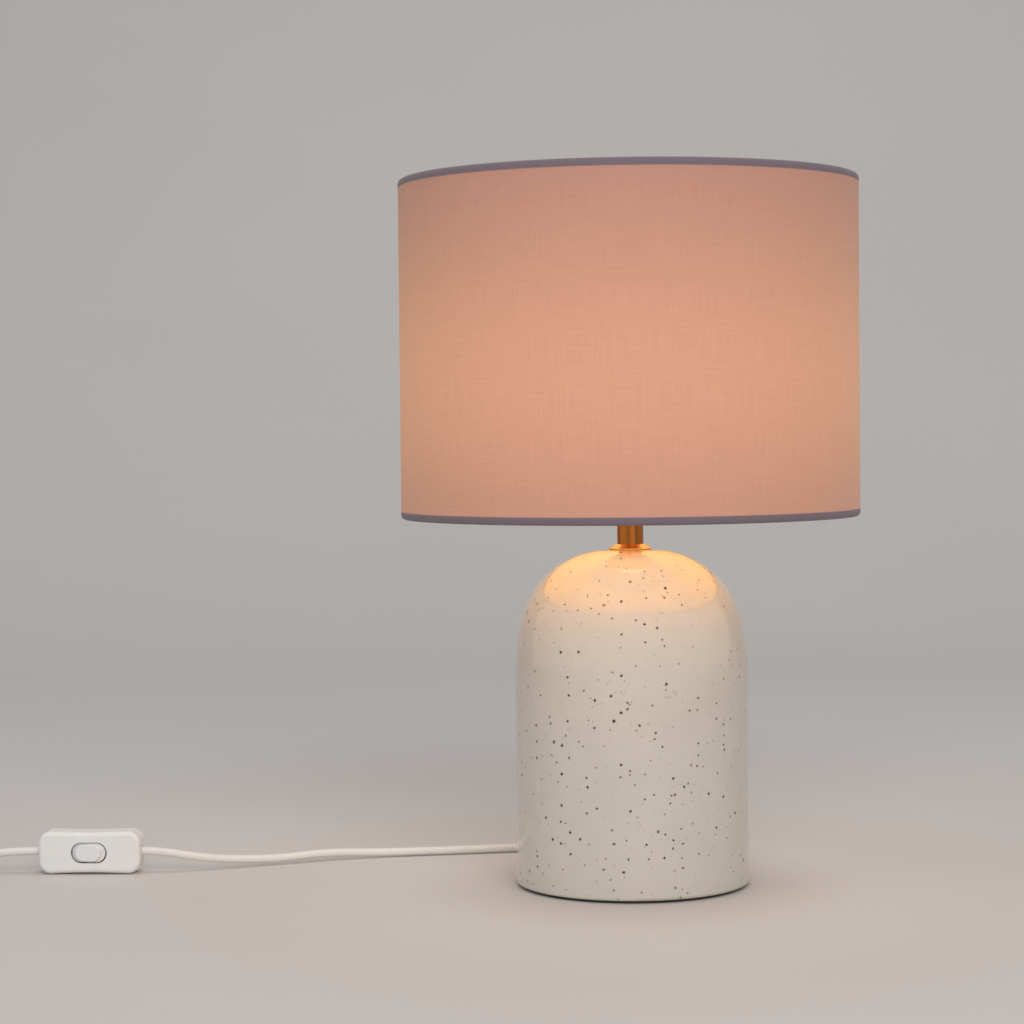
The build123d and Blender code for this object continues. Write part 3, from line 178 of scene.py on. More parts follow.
# Cord routes in millimetres, from the bush to the switch and on through the coil to the plug
SWITCH_Y = 38.5
CORD_MID_Z = SWITCH_MID_Z / MM
TO_SWITCH = [
    (0, 65.4, 12),
    (0, 72, 12),
    (0, 94, 12),
    (-20, 112, 7),
    (-48, 108, 2.4),
    (-104, 96.3, 2.4),
    (-148, 87, 2.5),
    (-177, 76.5, 4.6),
    (-204, 63, 3.2),
    (-230, 51.5, 4.6),
    (-251.5, 42.6, 8),
    (-270, SWITCH_Y, CORD_MID_Z),
    (-288.5, SWITCH_Y, CORD_MID_Z),
]
COIL_X = -404.0
COIL_TOP_Y = 36.5
COIL_R = 29.5
COIL_STEP = 5.1
COIL_LAYERS = 4
COIL_Z = 3.3
COIL_LEAD = 4.6
COIL_STRAIGHT = 12
COIL_POINTS = 8
TO_COIL = [
    (-327.5, SWITCH_Y, CORD_MID_Z),
    (-356, SWITCH_Y, CORD_MID_Z),
    (-373, 37.6, 8.6),
    (COIL_X + COIL_LEAD + COIL_STRAIGHT, COIL_TOP_Y, COIL_Z),
    (COIL_X + COIL_LEAD, COIL_TOP_Y, COIL_Z),
]
PLUG_MID_Z = 6.75
PLUG_SOCKET_Y = -70.0

# Strap that ties the coil, and its stitches
STRAP_T = 0.8 * MM
STRAP_TAB = 10.0 * MM
STRAP_CORNER = 2.2 * MM
STRAP_COLUMNS = 6
STRAP_WEAVE = 0.9 * MM
STITCH_SPACING = 1.2 * MM
STITCH_LENGTH = 0.9 * MM
STITCH_T = 0.3 * MM
STITCH_DETAIL = (8, 6)

# Camera of the photograph: its eye, and its turns about up, sideways and along the view
EYE = (0.0, -1.43444, 0.25545)
YAW = -2.58
PITCH = -2.031
ROLL = -0.566
SENSOR_MM = 36

# Studio in metres: floor that bends up into a backdrop, and each soft light's place and width
FLOOR_FRONT = -2.2
FLOOR_HALF = 4.0
FLOOR_DROP = 0.3 * MM
BEND_Y = 1.2
BEND_R = 1.0
BACKDROP_TOP = 3.4
LIT_SPOT = (0, 0, 0.2)
SKY_TINT = (1.0, 0.99, 0.97, 1)
SOFTBOXES = {
    "key": ((0.5, -2.8, 1.6), 2.6),
    "fill": ((-2.4, -1.6, 1.2), 2.2),
    "top": ((0.0, 0.4, 2.6), 2.4),
}


def millimetres(name, description, default, low, high):
    """Property for a length."""
    return FloatProperty(
        name=name, description=description, default=default * MM, min=low * MM, max=high * MM, unit="LENGTH"
    )


def watts(name, description, default):
    """Property for a light's power."""
    return FloatProperty(name=name, description=description, default=default, min=0, unit="POWER")


def colour(name, description, default):
    """Property for a finish's colour."""
    return FloatVectorProperty(
        name=name, description=description, default=default, min=0, max=1, size=3, subtype="COLOR"
    )


class LampSizes(bpy.types.PropertyGroup):
    """Sizes of the soft and fine work."""

    cord_diameter: millimetres("Cord diameter", "Outside of the round mains cord", 4.6, 2, 10)
    weave_pitch: millimetres("Weave pitch", "From one thread of the cloth to the next", 0.75, 0.2, 3)
    slub_length: millimetres("Slub length", "Longest thick place in a thread of the cloth", 6.0, 1, 20)
    slub_density: FloatProperty(
        name="Slubs per square metre",
        description="How many thick places the cloth has",
        default=2600.0,
        min=0,
        max=10000,
    )
    speckle_spacing: millimetres("Speckle spacing", "From one iron speck to the next", 4.6, 1, 20)
    speckle_radius: millimetres("Speckle radius", "Largest iron speck in the glaze", 0.76, 0.1, 3)


class LampFinishes(bpy.types.PropertyGroup):
    """Colours of the lamp's finishes."""

    glaze: colour("Glaze", "Cream glaze of the base", (0.60, 0.55, 0.485))
    speck: colour("Speck", "Iron specks in the glaze", (0.016, 0.008, 0.005))
    # Painted light: the tube's brass is deepened to orange to stand for warm lamplight on it
    brass: colour("Brass", "Drawn brass of the neck tube", (0.76, 0.245, 0.05))
    # Painted highlight: the flange's brass is drawn paler than the tube's, as brightly lit brass
    flange_highlight: colour("Flange", "Paler turned brass of the neck's flange", (0.82, 0.56, 0.25))
    # Painted light: the white cotton is tinted peach as if lit through by the warm bulb
    cloth: colour("Cloth", "Cotton of the shade", (0.46, 0.233, 0.205))
    # Painted shade: the rims are the same white cotton as the wall, drawn dark grey-lilac where no bulb
    # light shows through
    hem_painted_shade: colour("Hem", "Doubled cotton at the rims", (0.19, 0.15, 0.175))
    glow: colour("Glow", "Warm light of the bulb through the shade", (1.0, 0.47, 0.15))
    film_glow: colour("Film glow", "Amber light on the film inside the shade", (1.0, 0.45, 0.09))
    plastic: colour("Plastic", "White plastic of the switch and plug", (0.78, 0.77, 0.76))
    sheath: colour("Sheath", "White sheath of the cord", (0.76, 0.735, 0.70))
    steel: colour("Steel", "Zinc plated steel", (0.60, 0.60, 0.61))


class LampStudio(bpy.types.PropertyGroup):
    """Floor, lights and camera."""

    floor: colour("Floor", "Pale floor and backdrop", (0.60, 0.575, 0.56))
    key_power: watts("Key light", "Large soft light at the front", 58.0)
    fill_power: watts("Fill light", "Soft light at the front left", 9.0)
    top_power: watts("Top light", "Soft light above and behind", 21.0)
    bulb_power: watts("Bulb", "Light of the lamp's own bulb", 1.0)
    downlight_power: watts("Downlight", "Bulb light that leaves the shade's bottom opening", 0.11)
    sky: FloatProperty(name="Surroundings", description="Even light from all round", default=0.30, min=0)
    backdrop: FloatProperty(
        name="Backdrop", description="Brightness seen beyond the floor's edge", default=0.48, min=0, max=1
    )
    lens: FloatProperty(
        name="Lens", description="Focal length of the camera", default=92.1, min=10, unit="CAMERA"
    )


# Node helpers


def add(tree, kind, inputs=None, **settings):
    """New node with its settings, and its inputs set to values or linked to sockets."""
    node = tree.nodes.new(kind)
    for name, value in settings.items():
        setattr(node, name, value)
    for key, value in (inputs or {}).items():
        if isinstance(value, bpy.types.NodeSocket):
            tree.links.new(value, node.inputs[key])
        else:
            node.inputs[key].default_value = value
    return node


def tree_of(*values):
    """Node tree of the first socket among some values."""
    return next(value.id_data for value in values if isinstance(value, bpy.types.NodeSocket))


def maths(operation, *values):
    """Result of a Math node on numbers or sockets."""
    node = add(tree_of(*values), "ShaderNodeMath", dict(enumerate(values)), operation=operation)
    return node.outputs[0]


def linear(value, factor, offset):
    """Value of a socket times a factor, plus an offset."""
    return maths("ADD", offset, maths("MULTIPLY", value, factor))


def vectors(operation, first, second):
    """Result of a Vector Math node on two vectors, or on a vector and its scale."""
    inputs = {0: first, "Scale" if operation == "SCALE" else 1: second}
    return add(tree_of(first, second), "ShaderNodeVectorMath", inputs, operation=operation).outputs[0]


def noise(where, scale, detail=2.0):
    """Outputs of a noise texture."""
    inputs = {"Vector": where, "Scale": scale, "Detail": detail}
    return add(where.id_data, "ShaderNodeTexNoise", inputs).outputs


def streaks(where, stretch, detail):
    """Noise with its own number of streaks per metre along each axis."""
    mapped = add(where.id_data, "ShaderNodeMapping", {"Vector": where, "Scale": stretch}).outputs[0]
    return noise(mapped, 1.0, detail)["Fac"]


def object_place(tree):
    """Object coordinates."""
    return tree.nodes.new("ShaderNodeTexCoord").outputs["Object"]


def object_height(tree):
    """Height in object coordinates."""
    return add(tree, "ShaderNodeSeparateXYZ", {0: object_place(tree)}).outputs[2]


def blend_colours(share, first, second):
    """Colour between two, by a share from 0 to 1."""
    inputs = {0: share}
    for key, tone in ((6, first), (7, second)):
        inputs[key] = tone if isinstance(tone, bpy.types.NodeSocket) else (*tone, 1)
    return add(share.id_data, "ShaderNodeMix", inputs, data_type="RGBA").outputs[2]


def ramp(value, low, high):
    """Smooth rise from 0 at low to 1 at high."""
    inputs = {"Value": value, "From Min": low, "From Max": high}
    node = add(value.id_data, "ShaderNodeMapRange", inputs, interpolation_type="SMOOTHSTEP")
    return node.outputs["Result"]


def fall(value, low, high):
    """Smooth fall from 1 at low to 0 at high."""
    return maths("SUBTRACT", 1.0, ramp(value, low, high))


def group_tree(name, inputs, outputs):
    """Empty shader group with its named number sockets, and its end nodes."""
    tree = bpy.data.node_groups.new(name, "ShaderNodeTree")
    for label, default in inputs.items():
        socket = tree.interface.new_socket(label, in_out="INPUT", socket_type="NodeSocketFloat")
        socket.default_value = default
    for label in outputs:
        tree.interface.new_socket(label, in_out="OUTPUT", socket_type="NodeSocketFloat")
    return tree, tree.nodes.new("NodeGroupInput").outputs, tree.nodes.new("NodeGroupOutput")


def place(tree, maker, **inputs):
    """Group of a maker placed in a material, with its own values. Returns its outputs."""
    return add(tree, "ShaderNodeGroup", inputs, node_tree=finishes(maker)).outputs


def grain_group():
    """Fine unevenness of a moulded, cast or glazed surface, its size in millimetres."""
    tree, given, result = group_tree("Surface Grain", {"Size": 1.0, "Detail": 3.0}, ("Tone", "Height"))
    where = object_place(tree)
    scale = maths("DIVIDE", 1 / MM, given["Size"])
    fine = noise(where, scale, given["Detail"])
    wide = noise(where, maths("DIVIDE", scale, GRAIN_PATCH))
    connect(result, Tone=wide["Fac"], Height=fine["Fac"])
    return tree


def speck_group():
    """Iron specks: crisp dark spots with a faint halo, crowded in some places and sparse in others."""
    names = ("Specks", "Halo")
    tree, given, result = group_tree("Iron Specks", {"Spacing": 0.0046, "Radius": 0.0006}, names)
    where = object_place(tree)
    ragged = noise(where, SPECK_RAGGED)["Color"]
    centred = vectors("SUBTRACT", ragged, (0.5, 0.5, 0.5))
    nudged = vectors("ADD", where, vectors("SCALE", centred, SPECK_SHIFT))
    density = linear(noise(where, SPECK_CROWDS, 1.0)["Fac"], *SPECK_DENSITY)
    specks = []
    for spacing, radius in SPECK_SIZES:
        scale = maths("DIVIDE", 1.0, maths("MULTIPLY", given["Spacing"], spacing))
        cells = add(tree, "ShaderNodeTexVoronoi", {"Vector": nudged, "Scale": scale, "Randomness": 1.0})
        chance = add(tree, "ShaderNodeSeparateColor", {0: cells.outputs["Color"]}).outputs[0]
        size = maths("MULTIPLY", linear(chance, 1 - SPECK_LEAST, SPECK_LEAST), density)
        reach = maths("MULTIPLY", maths("MULTIPLY", given["Radius"], radius), scale)
        edge = maths("MULTIPLY", reach, size)
        specks.append(maths("DIVIDE", cells.outputs["Distance"], edge))
    large = fall(specks[0], *LARGE_SPECK_EDGE)
    small = maths("MULTIPLY", fall(specks[1], *SMALL_SPECK_EDGE), SMALL_SPECK_SHARE)
    connect(result, Specks=maths("MAXIMUM", large, small), Halo=fall(specks[0], *HALO_EDGE))
    return tree


def weave_group():
    """Plain weave on a UV map in metres: thread height, uneven thread tone and slubs."""
    names = ("Height", "Tone", "Slubs")
    tree, given, result = group_tree("Plain Weave", {"Pitch": 0.00075}, names)
    where = tree.nodes.new("ShaderNodeUVMap").outputs["UV"]
    along = add(tree, "ShaderNodeSeparateXYZ", {0: where}).outputs
    turn = maths("DIVIDE", math.pi, given["Pitch"])
    waves = [maths("SINE", maths("MULTIPLY", along[i], turn)) for i in (0, 1)]
    over = ramp(maths("MULTIPLY", waves[0], waves[1]), -CROSSING, CROSSING)
    under = maths("SUBTRACT", 1.0, over)
    warp = maths("MULTIPLY", maths("ABSOLUTE", waves[0]), over)
    weft = maths("MULTIPLY", maths("ABSOLUTE", waves[1]), under)
    stretches = ((STREAKS_ACROSS, STREAKS_ALONG, 1.0), (STREAKS_ALONG, STREAKS_ACROSS, 1.0))
    threads = [streaks(where, stretch, 2.0) for stretch in stretches]
    tone = maths("MULTIPLY", maths("ADD", *threads), 0.5)
    thick = [ramp(thread, *THICK_PLACE) for thread in threads]
    height = maths("MAXIMUM", warp, weft)
    connect(result, Height=height, Tone=tone, Slubs=maths("MAXIMUM", *thick))
    return tree


def glow_group():
    """Light that reaches the shade's wall from the globe at its centre, by height."""
    tree, given, result = group_tree("Bulb Glow", {"Low": 0.3, "High": 1.0}, ("Glow",))
    share = maths("DIVIDE", maths("SUBTRACT", object_height(tree), GLOBE_Z), SHADE_R)
    falloff = maths("POWER", linear(share, share, 1.0), GLOW_FALLOFF)
    span = maths("SUBTRACT", given["High"], given["Low"])
    connect(result, Glow=linear(span, falloff, given["Low"]))
    return tree


def new_material(name, **sockets):
    """Material with a Principled shader whose plain sockets are set by name."""
    material = bpy.data.materials.new(name)
    material.use_nodes = True
    tree = material.node_tree
    shader = tree.nodes["Principled BSDF"]
    for key, value in sockets.items():
        shader.inputs[key.replace("_", " ")].default_value = value
    return material, tree, shader


def connect(node, **links):
    """Links sockets to a node's inputs by name."""
    for key, socket in links.items():
        node.id_data.links.new(socket, node.inputs[key.replace("_", " ")])


def bump(shader, height, strength, distance):
    """Surface relief from a height."""
    inputs = {"Height": height, "Strength": strength, "Distance": distance}
    node = add(shader.id_data, "ShaderNodeBump", inputs)
    connect(shader, Normal=node.outputs[0])


@cache
def finishes(maker, *given):
    """Shader group or material, made once and on first use."""
    return maker(*given)


def tone_of(source, share=1.0):
    """Share of a colour, or of the lamp finish of that name."""
    if isinstance(source, str):
        source = getattr(bpy.context.scene.lamp_finishes, source)
    return Vector(source) * share


def bulb_glow(tree, levels):
    """Light of the bulb on the shade's wall, between its levels far from the bulb and beside it."""
    low, high = levels
    return place(tree, glow_group, Low=low, High=high)["Glow"]


def glaze_material():
    """Cream glaze with iron specks that lie a little dull and sunk in it."""
    sizes = bpy.context.scene.lamp_sizes
    material, tree, shader = new_material("speckled_glaze", IOR=1.55, Coat_IOR=1.6, Coat_Roughness=0.06)
    marks = place(tree, speck_group, Spacing=sizes.speckle_spacing, Radius=sizes.speckle_radius)
    specks = marks["Specks"]
    cloud = place(tree, grain_group, Size=3.0, Detail=2.0)["Tone"]
    cream = blend_colours(cloud, tone_of("glaze", 1 - GLAZE_CLOUD), tone_of("glaze", 1 + GLAZE_CLOUD))
    warm = blend_colours(maths("MULTIPLY", marks["Halo"], HALO_SHARE), cream, HALO_TINT)
    waves = place(tree, grain_group, Size=14.0, Detail=1.0)["Height"]
    relief = linear(specks, -SPECK_PIT, waves)
    connect(
        shader,
        Base_Color=blend_colours(specks, warm, tone_of("speck")),
        Roughness=linear(specks, SPECK_ROUGH, GLAZE_ROUGH),
        Coat_Weight=linear(specks, -SPECK_DULL, 1.0),
    )
    bump(shader, relief, 0.25, 1.2 * MM)
    return material


def metal_material(name):
    """Polished or plated metal; where streaks are given, as on the drawn neck tube, dark and bright
    lengthwise streaks are painted into its colour as painted reflections, and also give it fine drawn
    relief.
    """
    source, rough, reflection_streak_scale = METALS[name]
    tone = tone_of(source)
    material, tree, shader = new_material(name, Metallic=1.0)
    grain = place(tree, grain_group, Size=0.9, Detail=4.0)
    if reflection_streak_scale:
        # Painted reflection: lengthwise streaks darken and lighten the colour, and also give the drawn
        # tube's fine relief
        reflection_streaks = streaks(object_place(tree), reflection_streak_scale, 3.0)
        shade, darkest = ramp(reflection_streaks, 0.30, 0.68), 0.5
        bump(shader, reflection_streaks, 0.15, GRAIN_RELIEF)
    else:
        shade, darkest = grain["Tone"], 0.88
        bump(shader, grain["Height"], 0.10, GRAIN_RELIEF)
    connect(
        shader,
        Base_Color=blend_colours(shade, tone * darkest, tone * 1.12),
        Roughness=linear(grain["Tone"], METAL_ROUGH_VARIES, rough),
    )
    return material


def textured_material(name, tone, rough, size, depth):
    """Plastic, rubber, paint or pressed ceramic with a fine even texture."""
    material, tree, shader = new_material(name)
    grain = place(tree, grain_group, Size=size, Detail=3.0)
    connect(
        shader,
        Base_Color=blend_colours(grain["Tone"], tone * 0.95, tone * 1.04),
        Roughness=linear(grain["Tone"], MOULDED_ROUGH_VARIES, rough),
    )
    bump(shader, grain["Height"], depth, GRAIN_RELIEF)
    return material


def moulded_material(name):
    """Finish from the table of moulded finishes."""
    source, share, rough, size, depth = MOULDED[name]
    return textured_material(name, tone_of(source, share), rough, size, depth)


def cloth_material():
    """Cotton with the bulb's light painted on as a peach tint and a glow by height, and a grey-lilac
    painted shade at the doubled rims, where no glow is painted.
    """
    material, tree, shader = new_material(
        "shade_cotton", Roughness=0.88, Sheen_Weight=0.15, Emission_Strength=1.0
    )
    weave = place(tree, weave_group, Pitch=bpy.context.scene.lamp_sizes.weave_pitch)
    height = object_height(tree)
    edges = [ramp(height, band - HEM_STEP, band + HEM_STEP) for band in (BAND_LOW, BAND_HIGH)]
    wall = maths("SUBTRACT", *edges)
    # Painted shade at the rims, against the bulb-lit wall
    threads = blend_colours(wall, tone_of("hem_painted_shade"), tone_of("cloth"))
    gaps = maths("SUBTRACT", 1.0, weave["Height"])
    # Painted shade in the gaps between threads and on the slubs
    dark = maths("MULTIPLY", maths("ADD", gaps, weave["Slubs"]), CLOTH_SHADOW)
    toned = blend_colours(dark, threads, tone_of("cloth", CLOTH_DARKEST))
    evened = vectors("SCALE", toned, linear(weave["Tone"], *CLOTH_TONE))
    where = tree.nodes.new("ShaderNodeUVMap").outputs["UV"]
    around = add(tree, "ShaderNodeSeparateXYZ", {0: where}).outputs[0]
    start = math.radians(SEAM_AT) * (SHADE_R + HEM_PROUD)
    stop = start + SEAM_W
    begun = ramp(around, start - SEAM_EDGE, start)
    lap = maths("SUBTRACT", begun, ramp(around, stop, stop + SEAM_EDGE))
    level = maths("MULTIPLY", bulb_glow(tree, CLOTH_GLOW), wall)
    for dimmed in (
        linear(weave["Slubs"], -SLUB_DIMS, GLOW_THROUGH),
        linear(lap, -LAP_DIMS, 1.0),
        linear(weave["Tone"], *GLOW_TONE),
    ):
        level = maths("MULTIPLY", level, dimmed)
    connect(shader, Base_Color=evened, Emission_Color=vectors("SCALE", tone_of("glow"), level))
    bump(shader, linear(weave["Slubs"], SLUB_RISE, weave["Height"]), 0.35, 0.3 * MM)
    return material


def slub_material():
    """Thick places in the threads, which let less light through."""
    material, tree, shader = new_material("shade_slub_yarn", Roughness=0.9, Emission_Strength=1.0)
    grain = place(tree, grain_group, Size=0.5, Detail=2.0)
    connect(
        shader,
        Base_Color=blend_colours(grain["Tone"], tone_of("cloth", 0.82), tone_of("cloth")),
        Emission_Color=vectors("SCALE", tone_of("glow"), bulb_glow(tree, SLUB_GLOW)),
    )
    return material


def liner_material():
    """Stiff pale film behind the cotton, tinted amber and given a glow by height, both painted light of the
    bulb.
    """
    material, tree, shader = new_material("shade_film", Roughness=0.45, Emission_Strength=1.0)
    grain = place(tree, grain_group, Size=4.0, Detail=2.0)
    connect(
        shader,
        # Painted light: the white film is tinted amber as if lit by the warm bulb
        Base_Color=blend_colours(grain["Tone"], (0.70, 0.58, 0.46), (0.78, 0.66, 0.54)),
        Emission_Color=vectors("SCALE", tone_of("film_glow"), bulb_glow(tree, FILM_GLOW)),
    )
    bump(shader, grain["Height"], 0.05, 0.5 * MM)
    return material


def opal_material():
    """Opal glass of the lit bulb, dimmer towards its neck."""
    material, tree, shader = new_material("opal_glass", Roughness=0.22, Emission_Strength=1.5)
    up = ramp(object_height(tree), BULB_LOW.z, GLOBE_Z)
    connect(
        shader,
        Base_Color=blend_colours(up, (0.75, 0.66, 0.54), (0.86, 0.82, 0.75)),
        Emission_Color=blend_colours(up, (0.55, 0.30, 0.12), (1.0, 0.74, 0.44)),
    )
    return material


def clear_glass_material():
    """Clear, slightly uneven glass of the bulb's stem."""
    material, tree, shader = new_material("stem_glass", IOR=1.5, Transmission_Weight=0.9)
    grain = place(tree, grain_group, Size=1.5, Detail=2.0)
    connect(
        shader,
        Base_Color=blend_colours(grain["Tone"], (0.80, 0.84, 0.84), (0.92, 0.94, 0.94)),
        Roughness=maths("MULTIPLY", grain["Tone"], 0.12),
    )
    return material


def strap_material():
    """Woven strap of the coil's tie."""
    material, tree, shader = new_material("tie_strap", Roughness=0.85, Sheen_Weight=0.3)
    weave = place(tree, weave_group, Pitch=STRAP_WEAVE)
    woven = blend_colours(weave["Tone"], tone_of("sheath", 0.72), tone_of("sheath", 1.02))
    connect(shader, Base_Color=woven)
    bump(shader, weave["Height"], 0.6, 0.4 * MM)
    return material


def floor_material():
    """Pale painted floor and backdrop with hardly any texture."""
    floor = Vector(bpy.context.scene.lamp_studio.floor)
    return textured_material("studio_floor", floor, 0.62, 60.0, 0.02)


def plain(name):
    """Moulded or metal finish from its table, made once."""
    return finishes(metal_material if name in METALS else moulded_material, name)


# Mesh helpers


def arc(r, z, radius, start, stop, steps):
    """Points of an arc in the plane of radius and height, between two angles in degrees."""
    turns = [math.radians(start + (stop - start) * i / steps) for i in range(steps + 1)]
    return [(r + radius * math.cos(a), z + radius * math.sin(a)) for a in turns]


def run(start, stop, steps):
    """Evenly spaced points of a straight run, both ends included."""
    return [tuple(a + (b - a) * i / steps for a, b in zip(start, stop)) for i in range(steps + 1)]


def object_of(name, mesh, *materials):
    """New object at the origin for a mesh, curve, camera or light, with its materials."""
    piece = bpy.data.objects.new(name, mesh)
    bpy.context.scene.collection.objects.link(piece)
    for material in materials:
        mesh.materials.append(material)
    return piece


def mesh_of(name, source):
    """Plain mesh of an edit mesh, which is freed."""
    made = bpy.data.meshes.new(name)
    source.to_mesh(made)
    source.free()
    return made


def finish(material, *nodes):
    """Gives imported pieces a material, or the moulded or metal finish of that name."""
    if isinstance(material, str):
        material = plain(material)
    for name in nodes:
        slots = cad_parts[name].data.materials
        slots.clear()
        slots.append(material)


def lathe(name, outline, turns, swell):
    """Closed turned mesh from (radius, height) points, with a UV map in metres.

    swell(angle, index) adds to the radius at a point of the outline.
    """
    mesh = bmesh.new()
    uv = mesh.loops.layers.uv.new("UVMap")
    rows = []
    for index, (r, z) in enumerate(outline):
        radii = [r + swell(a, index) for a in turns]
        rows.append([mesh.verts.new((q * math.cos(a), q * math.sin(a), z)) for q, a in zip(radii, turns)])
    lengths = [0.0]
    for (r0, z0), (r1, z1) in zip(outline, outline[1:] + outline[:1]):
        lengths.append(lengths[-1] + math.hypot(r1 - r0, z1 - z0))
    around = max(r for r, z in outline)
    ends = list(turns[1:]) + [turns[0] + 2 * math.pi]
    for i in range(len(outline)):
        here = rows[i]
        there = rows[(i + 1) % len(rows)]
        for j, (a, b) in enumerate(zip(turns, ends)):
            k = (j + 1) % len(turns)
            face = mesh.faces.new((here[j], here[k], there[k], there[j]))
            face.smooth = True
            corners = ((a, lengths[i]), (b, lengths[i]), (b, lengths[i + 1]), (a, lengths[i + 1]))
            for loop, (angle, length) in zip(face.loops, corners):
                loop[uv].uv = (angle * around, length)
    bmesh.ops.recalc_face_normals(mesh, faces=mesh.faces)
    made = mesh_of(name, mesh)
    made.set_sharp_from_angle(angle=math.radians(SHARP_EDGE))
    return made


def cord_curve(name, points, diameter, material):
    """Smooth round cord on control points in millimetres."""
    curve = bpy.data.curves.new(name, "CURVE")
    curve.dimensions = "3D"
    curve.bevel_depth = diameter / 2
    curve.bevel_resolution = 5
    curve.resolution_u = 8
    curve.use_fill_caps = True
    spline = curve.splines.new("NURBS")
    spline.points.add(len(points) - 1)
    for spot, point in zip(spline.points, points):
        spot.co = (*(Vector(point) * MM), 1)
    spline.order_u = 3
    spline.use_endpoint_u = True
    return object_of(name, curve, material)


def coil_points():
    """Control points of the put-away coil: layers that spiral in and out, climbing where they reverse."""
    inwards = [COIL_R, COIL_R - 0.5 * COIL_STEP, COIL_R - COIL_STEP]
    inner = COIL_R - 1.5 * COIL_STEP
    outer = COIL_R + 0.5 * COIL_STEP
    plan = []
    for layer in range(COIL_LAYERS):
        radii = inwards if layer % 2 == 0 else inwards[::-1]
        plan += [(radius, 0.0, 180) for radius in radii]
        plan.append((inner if layer % 2 == 0 else outer, COIL_STEP, 180))
    plan = plan[:-2] + [(COIL_R, 0.0, 90)]
    # The smooth curve cuts its corners, so its points lie outside the turns
    reach = 1 / (0.75 + 0.25 * math.cos(math.pi / COIL_POINTS))
    here = Vector((COIL_X, COIL_TOP_Y, COIL_Z))
    start = 90
    points = []
    for radius, rise, sweep in plan:
        centre = here - Vector((0, radius * math.sin(math.radians(start)), 0))
        steps = COIL_POINTS * sweep // 180
        for i in range(1, steps + 1):
            share = (i - 0.5) / steps
            angle = math.radians(start + sweep * share)
            lift = rise * share * share * (3 - 2 * share)
            spoke = Vector((math.cos(angle), math.sin(angle), 0))
            points.append(centre + spoke * radius * reach + Vector((0, 0, lift)))
        angle = math.radians(start + sweep)
        here = centre + Vector((math.cos(angle), math.sin(angle), 0)) * radius + Vector((0, 0, rise))
        start += sweep
    return points, here


def node_tree(name, *numbers, **others):
    """Empty geometry tree with named inputs for numbers and other types, and its end nodes."""
    tree = bpy.data.node_groups.new(name, "GeometryNodeTree")
    kinds = {"Geometry": "Geometry"} | dict.fromkeys(numbers, "Float") | others | {"Material": "Material"}
    for label, kind in kinds.items():
        tree.interface.new_socket(label, in_out="INPUT", socket_type="NodeSocket" + kind)
    tree.interface.new_socket("Geometry", in_out="OUTPUT", socket_type="NodeSocketGeometry")
    return tree, tree.nodes.new("NodeGroupInput").outputs, tree.nodes.new("NodeGroupOutput")


def grown(name, source, tree, **values):
    """Plain mesh of what a geometry tree makes from a source mesh."""
    carrier = object_of(name + "_carrier", source)
    modifier = carrier.modifiers.new("Nodes", "NODES")
    modifier.node_group = tree
    for item in tree.interface.items_tree:
        key = item.name.lower()
        if item.in_out == "INPUT" and key in values:
            modifier[item.identifier] = values[key]
    graph = bpy.context.evaluated_depsgraph_get()
    made = bpy.data.meshes.new_from_object(carrier.evaluated_get(graph), depsgraph=graph)
    made.name = name
    bpy.data.objects.remove(carrier)
    return made


def scatter(tree, given, result, points, rotation, size, detail):
    """Ends a geometry tree: stretched beads on points, made real, smoothed and given their material."""
    segments, rings = detail
    bead = add(tree, "GeometryNodeMeshUVSphere", {"Segments": segments, "Rings": rings, "Radius": 0.5})
    stretch = add(tree, "ShaderNodeCombineXYZ", dict(enumerate(size)))
    copies = add(
        tree,
        "GeometryNodeInstanceOnPoints",
        {
            "Points": points,
            "Instance": bead.outputs["Mesh"],
            "Rotation": rotation,
            "Scale": stretch.outputs[0],
        },
    )
    solid = add(tree, "GeometryNodeRealizeInstances", {0: copies.outputs[0]})
    smooth = add(tree, "GeometryNodeSetShadeSmooth", {0: solid.outputs[0]})
    painted = add(tree, "GeometryNodeSetMaterial", {0: smooth.outputs[0], "Material": given["Material"]})
    connect(result, Geometry=painted.outputs[0])


def slub_tree():
    """Scatters thick yarn places over the cloth, along its two thread directions."""
    tree, given, result = node_tree("Slubs", "Density", "Length", "Width", "Thickness", Seed="Int")
    spots = add(
        tree,
        "GeometryNodeDistributePointsOnFaces",
        {"Mesh": given["Geometry"], "Density": given["Density"], "Seed": given["Seed"]},
    )
    tangent = vectors("CROSS_PRODUCT", (0, 0, 1), spots.outputs["Normal"])
    weft = add(
        tree,
        "FunctionNodeAlignRotationToVector",
        {"Rotation": spots.outputs["Rotation"], "Vector": tangent},
        axis="X",
        pivot_axis="Z",
    )
    coin = add(tree, "FunctionNodeRandomValue", {"Seed": SLUB_WAY_SEED}, data_type="BOOLEAN")
    warp = add(
        tree,
        "FunctionNodeRotateRotation",
        {"Rotation": weft.outputs[0], "Rotate By": (0, 0, math.pi / 2)},
        rotation_space="LOCAL",
    )
    inputs = {"Switch": coin.outputs[3], "False": weft.outputs[0], "True": warp.outputs[0]}
    chosen = add(tree, "GeometryNodeSwitch", inputs, input_type="ROTATION")
    span = {2: SLUB_SHORTEST, 3: 1.0, "Seed": SLUB_LENGTH_SEED}
    share = add(tree, "FunctionNodeRandomValue", span, data_type="FLOAT")
    length = maths("MULTIPLY", share.outputs[1], given["Length"])
    size = (length, given["Width"], given["Thickness"])
    scatter(tree, given, result, spots.outputs["Points"], chosen.outputs[0], size, SLUB_DETAIL)
    return tree


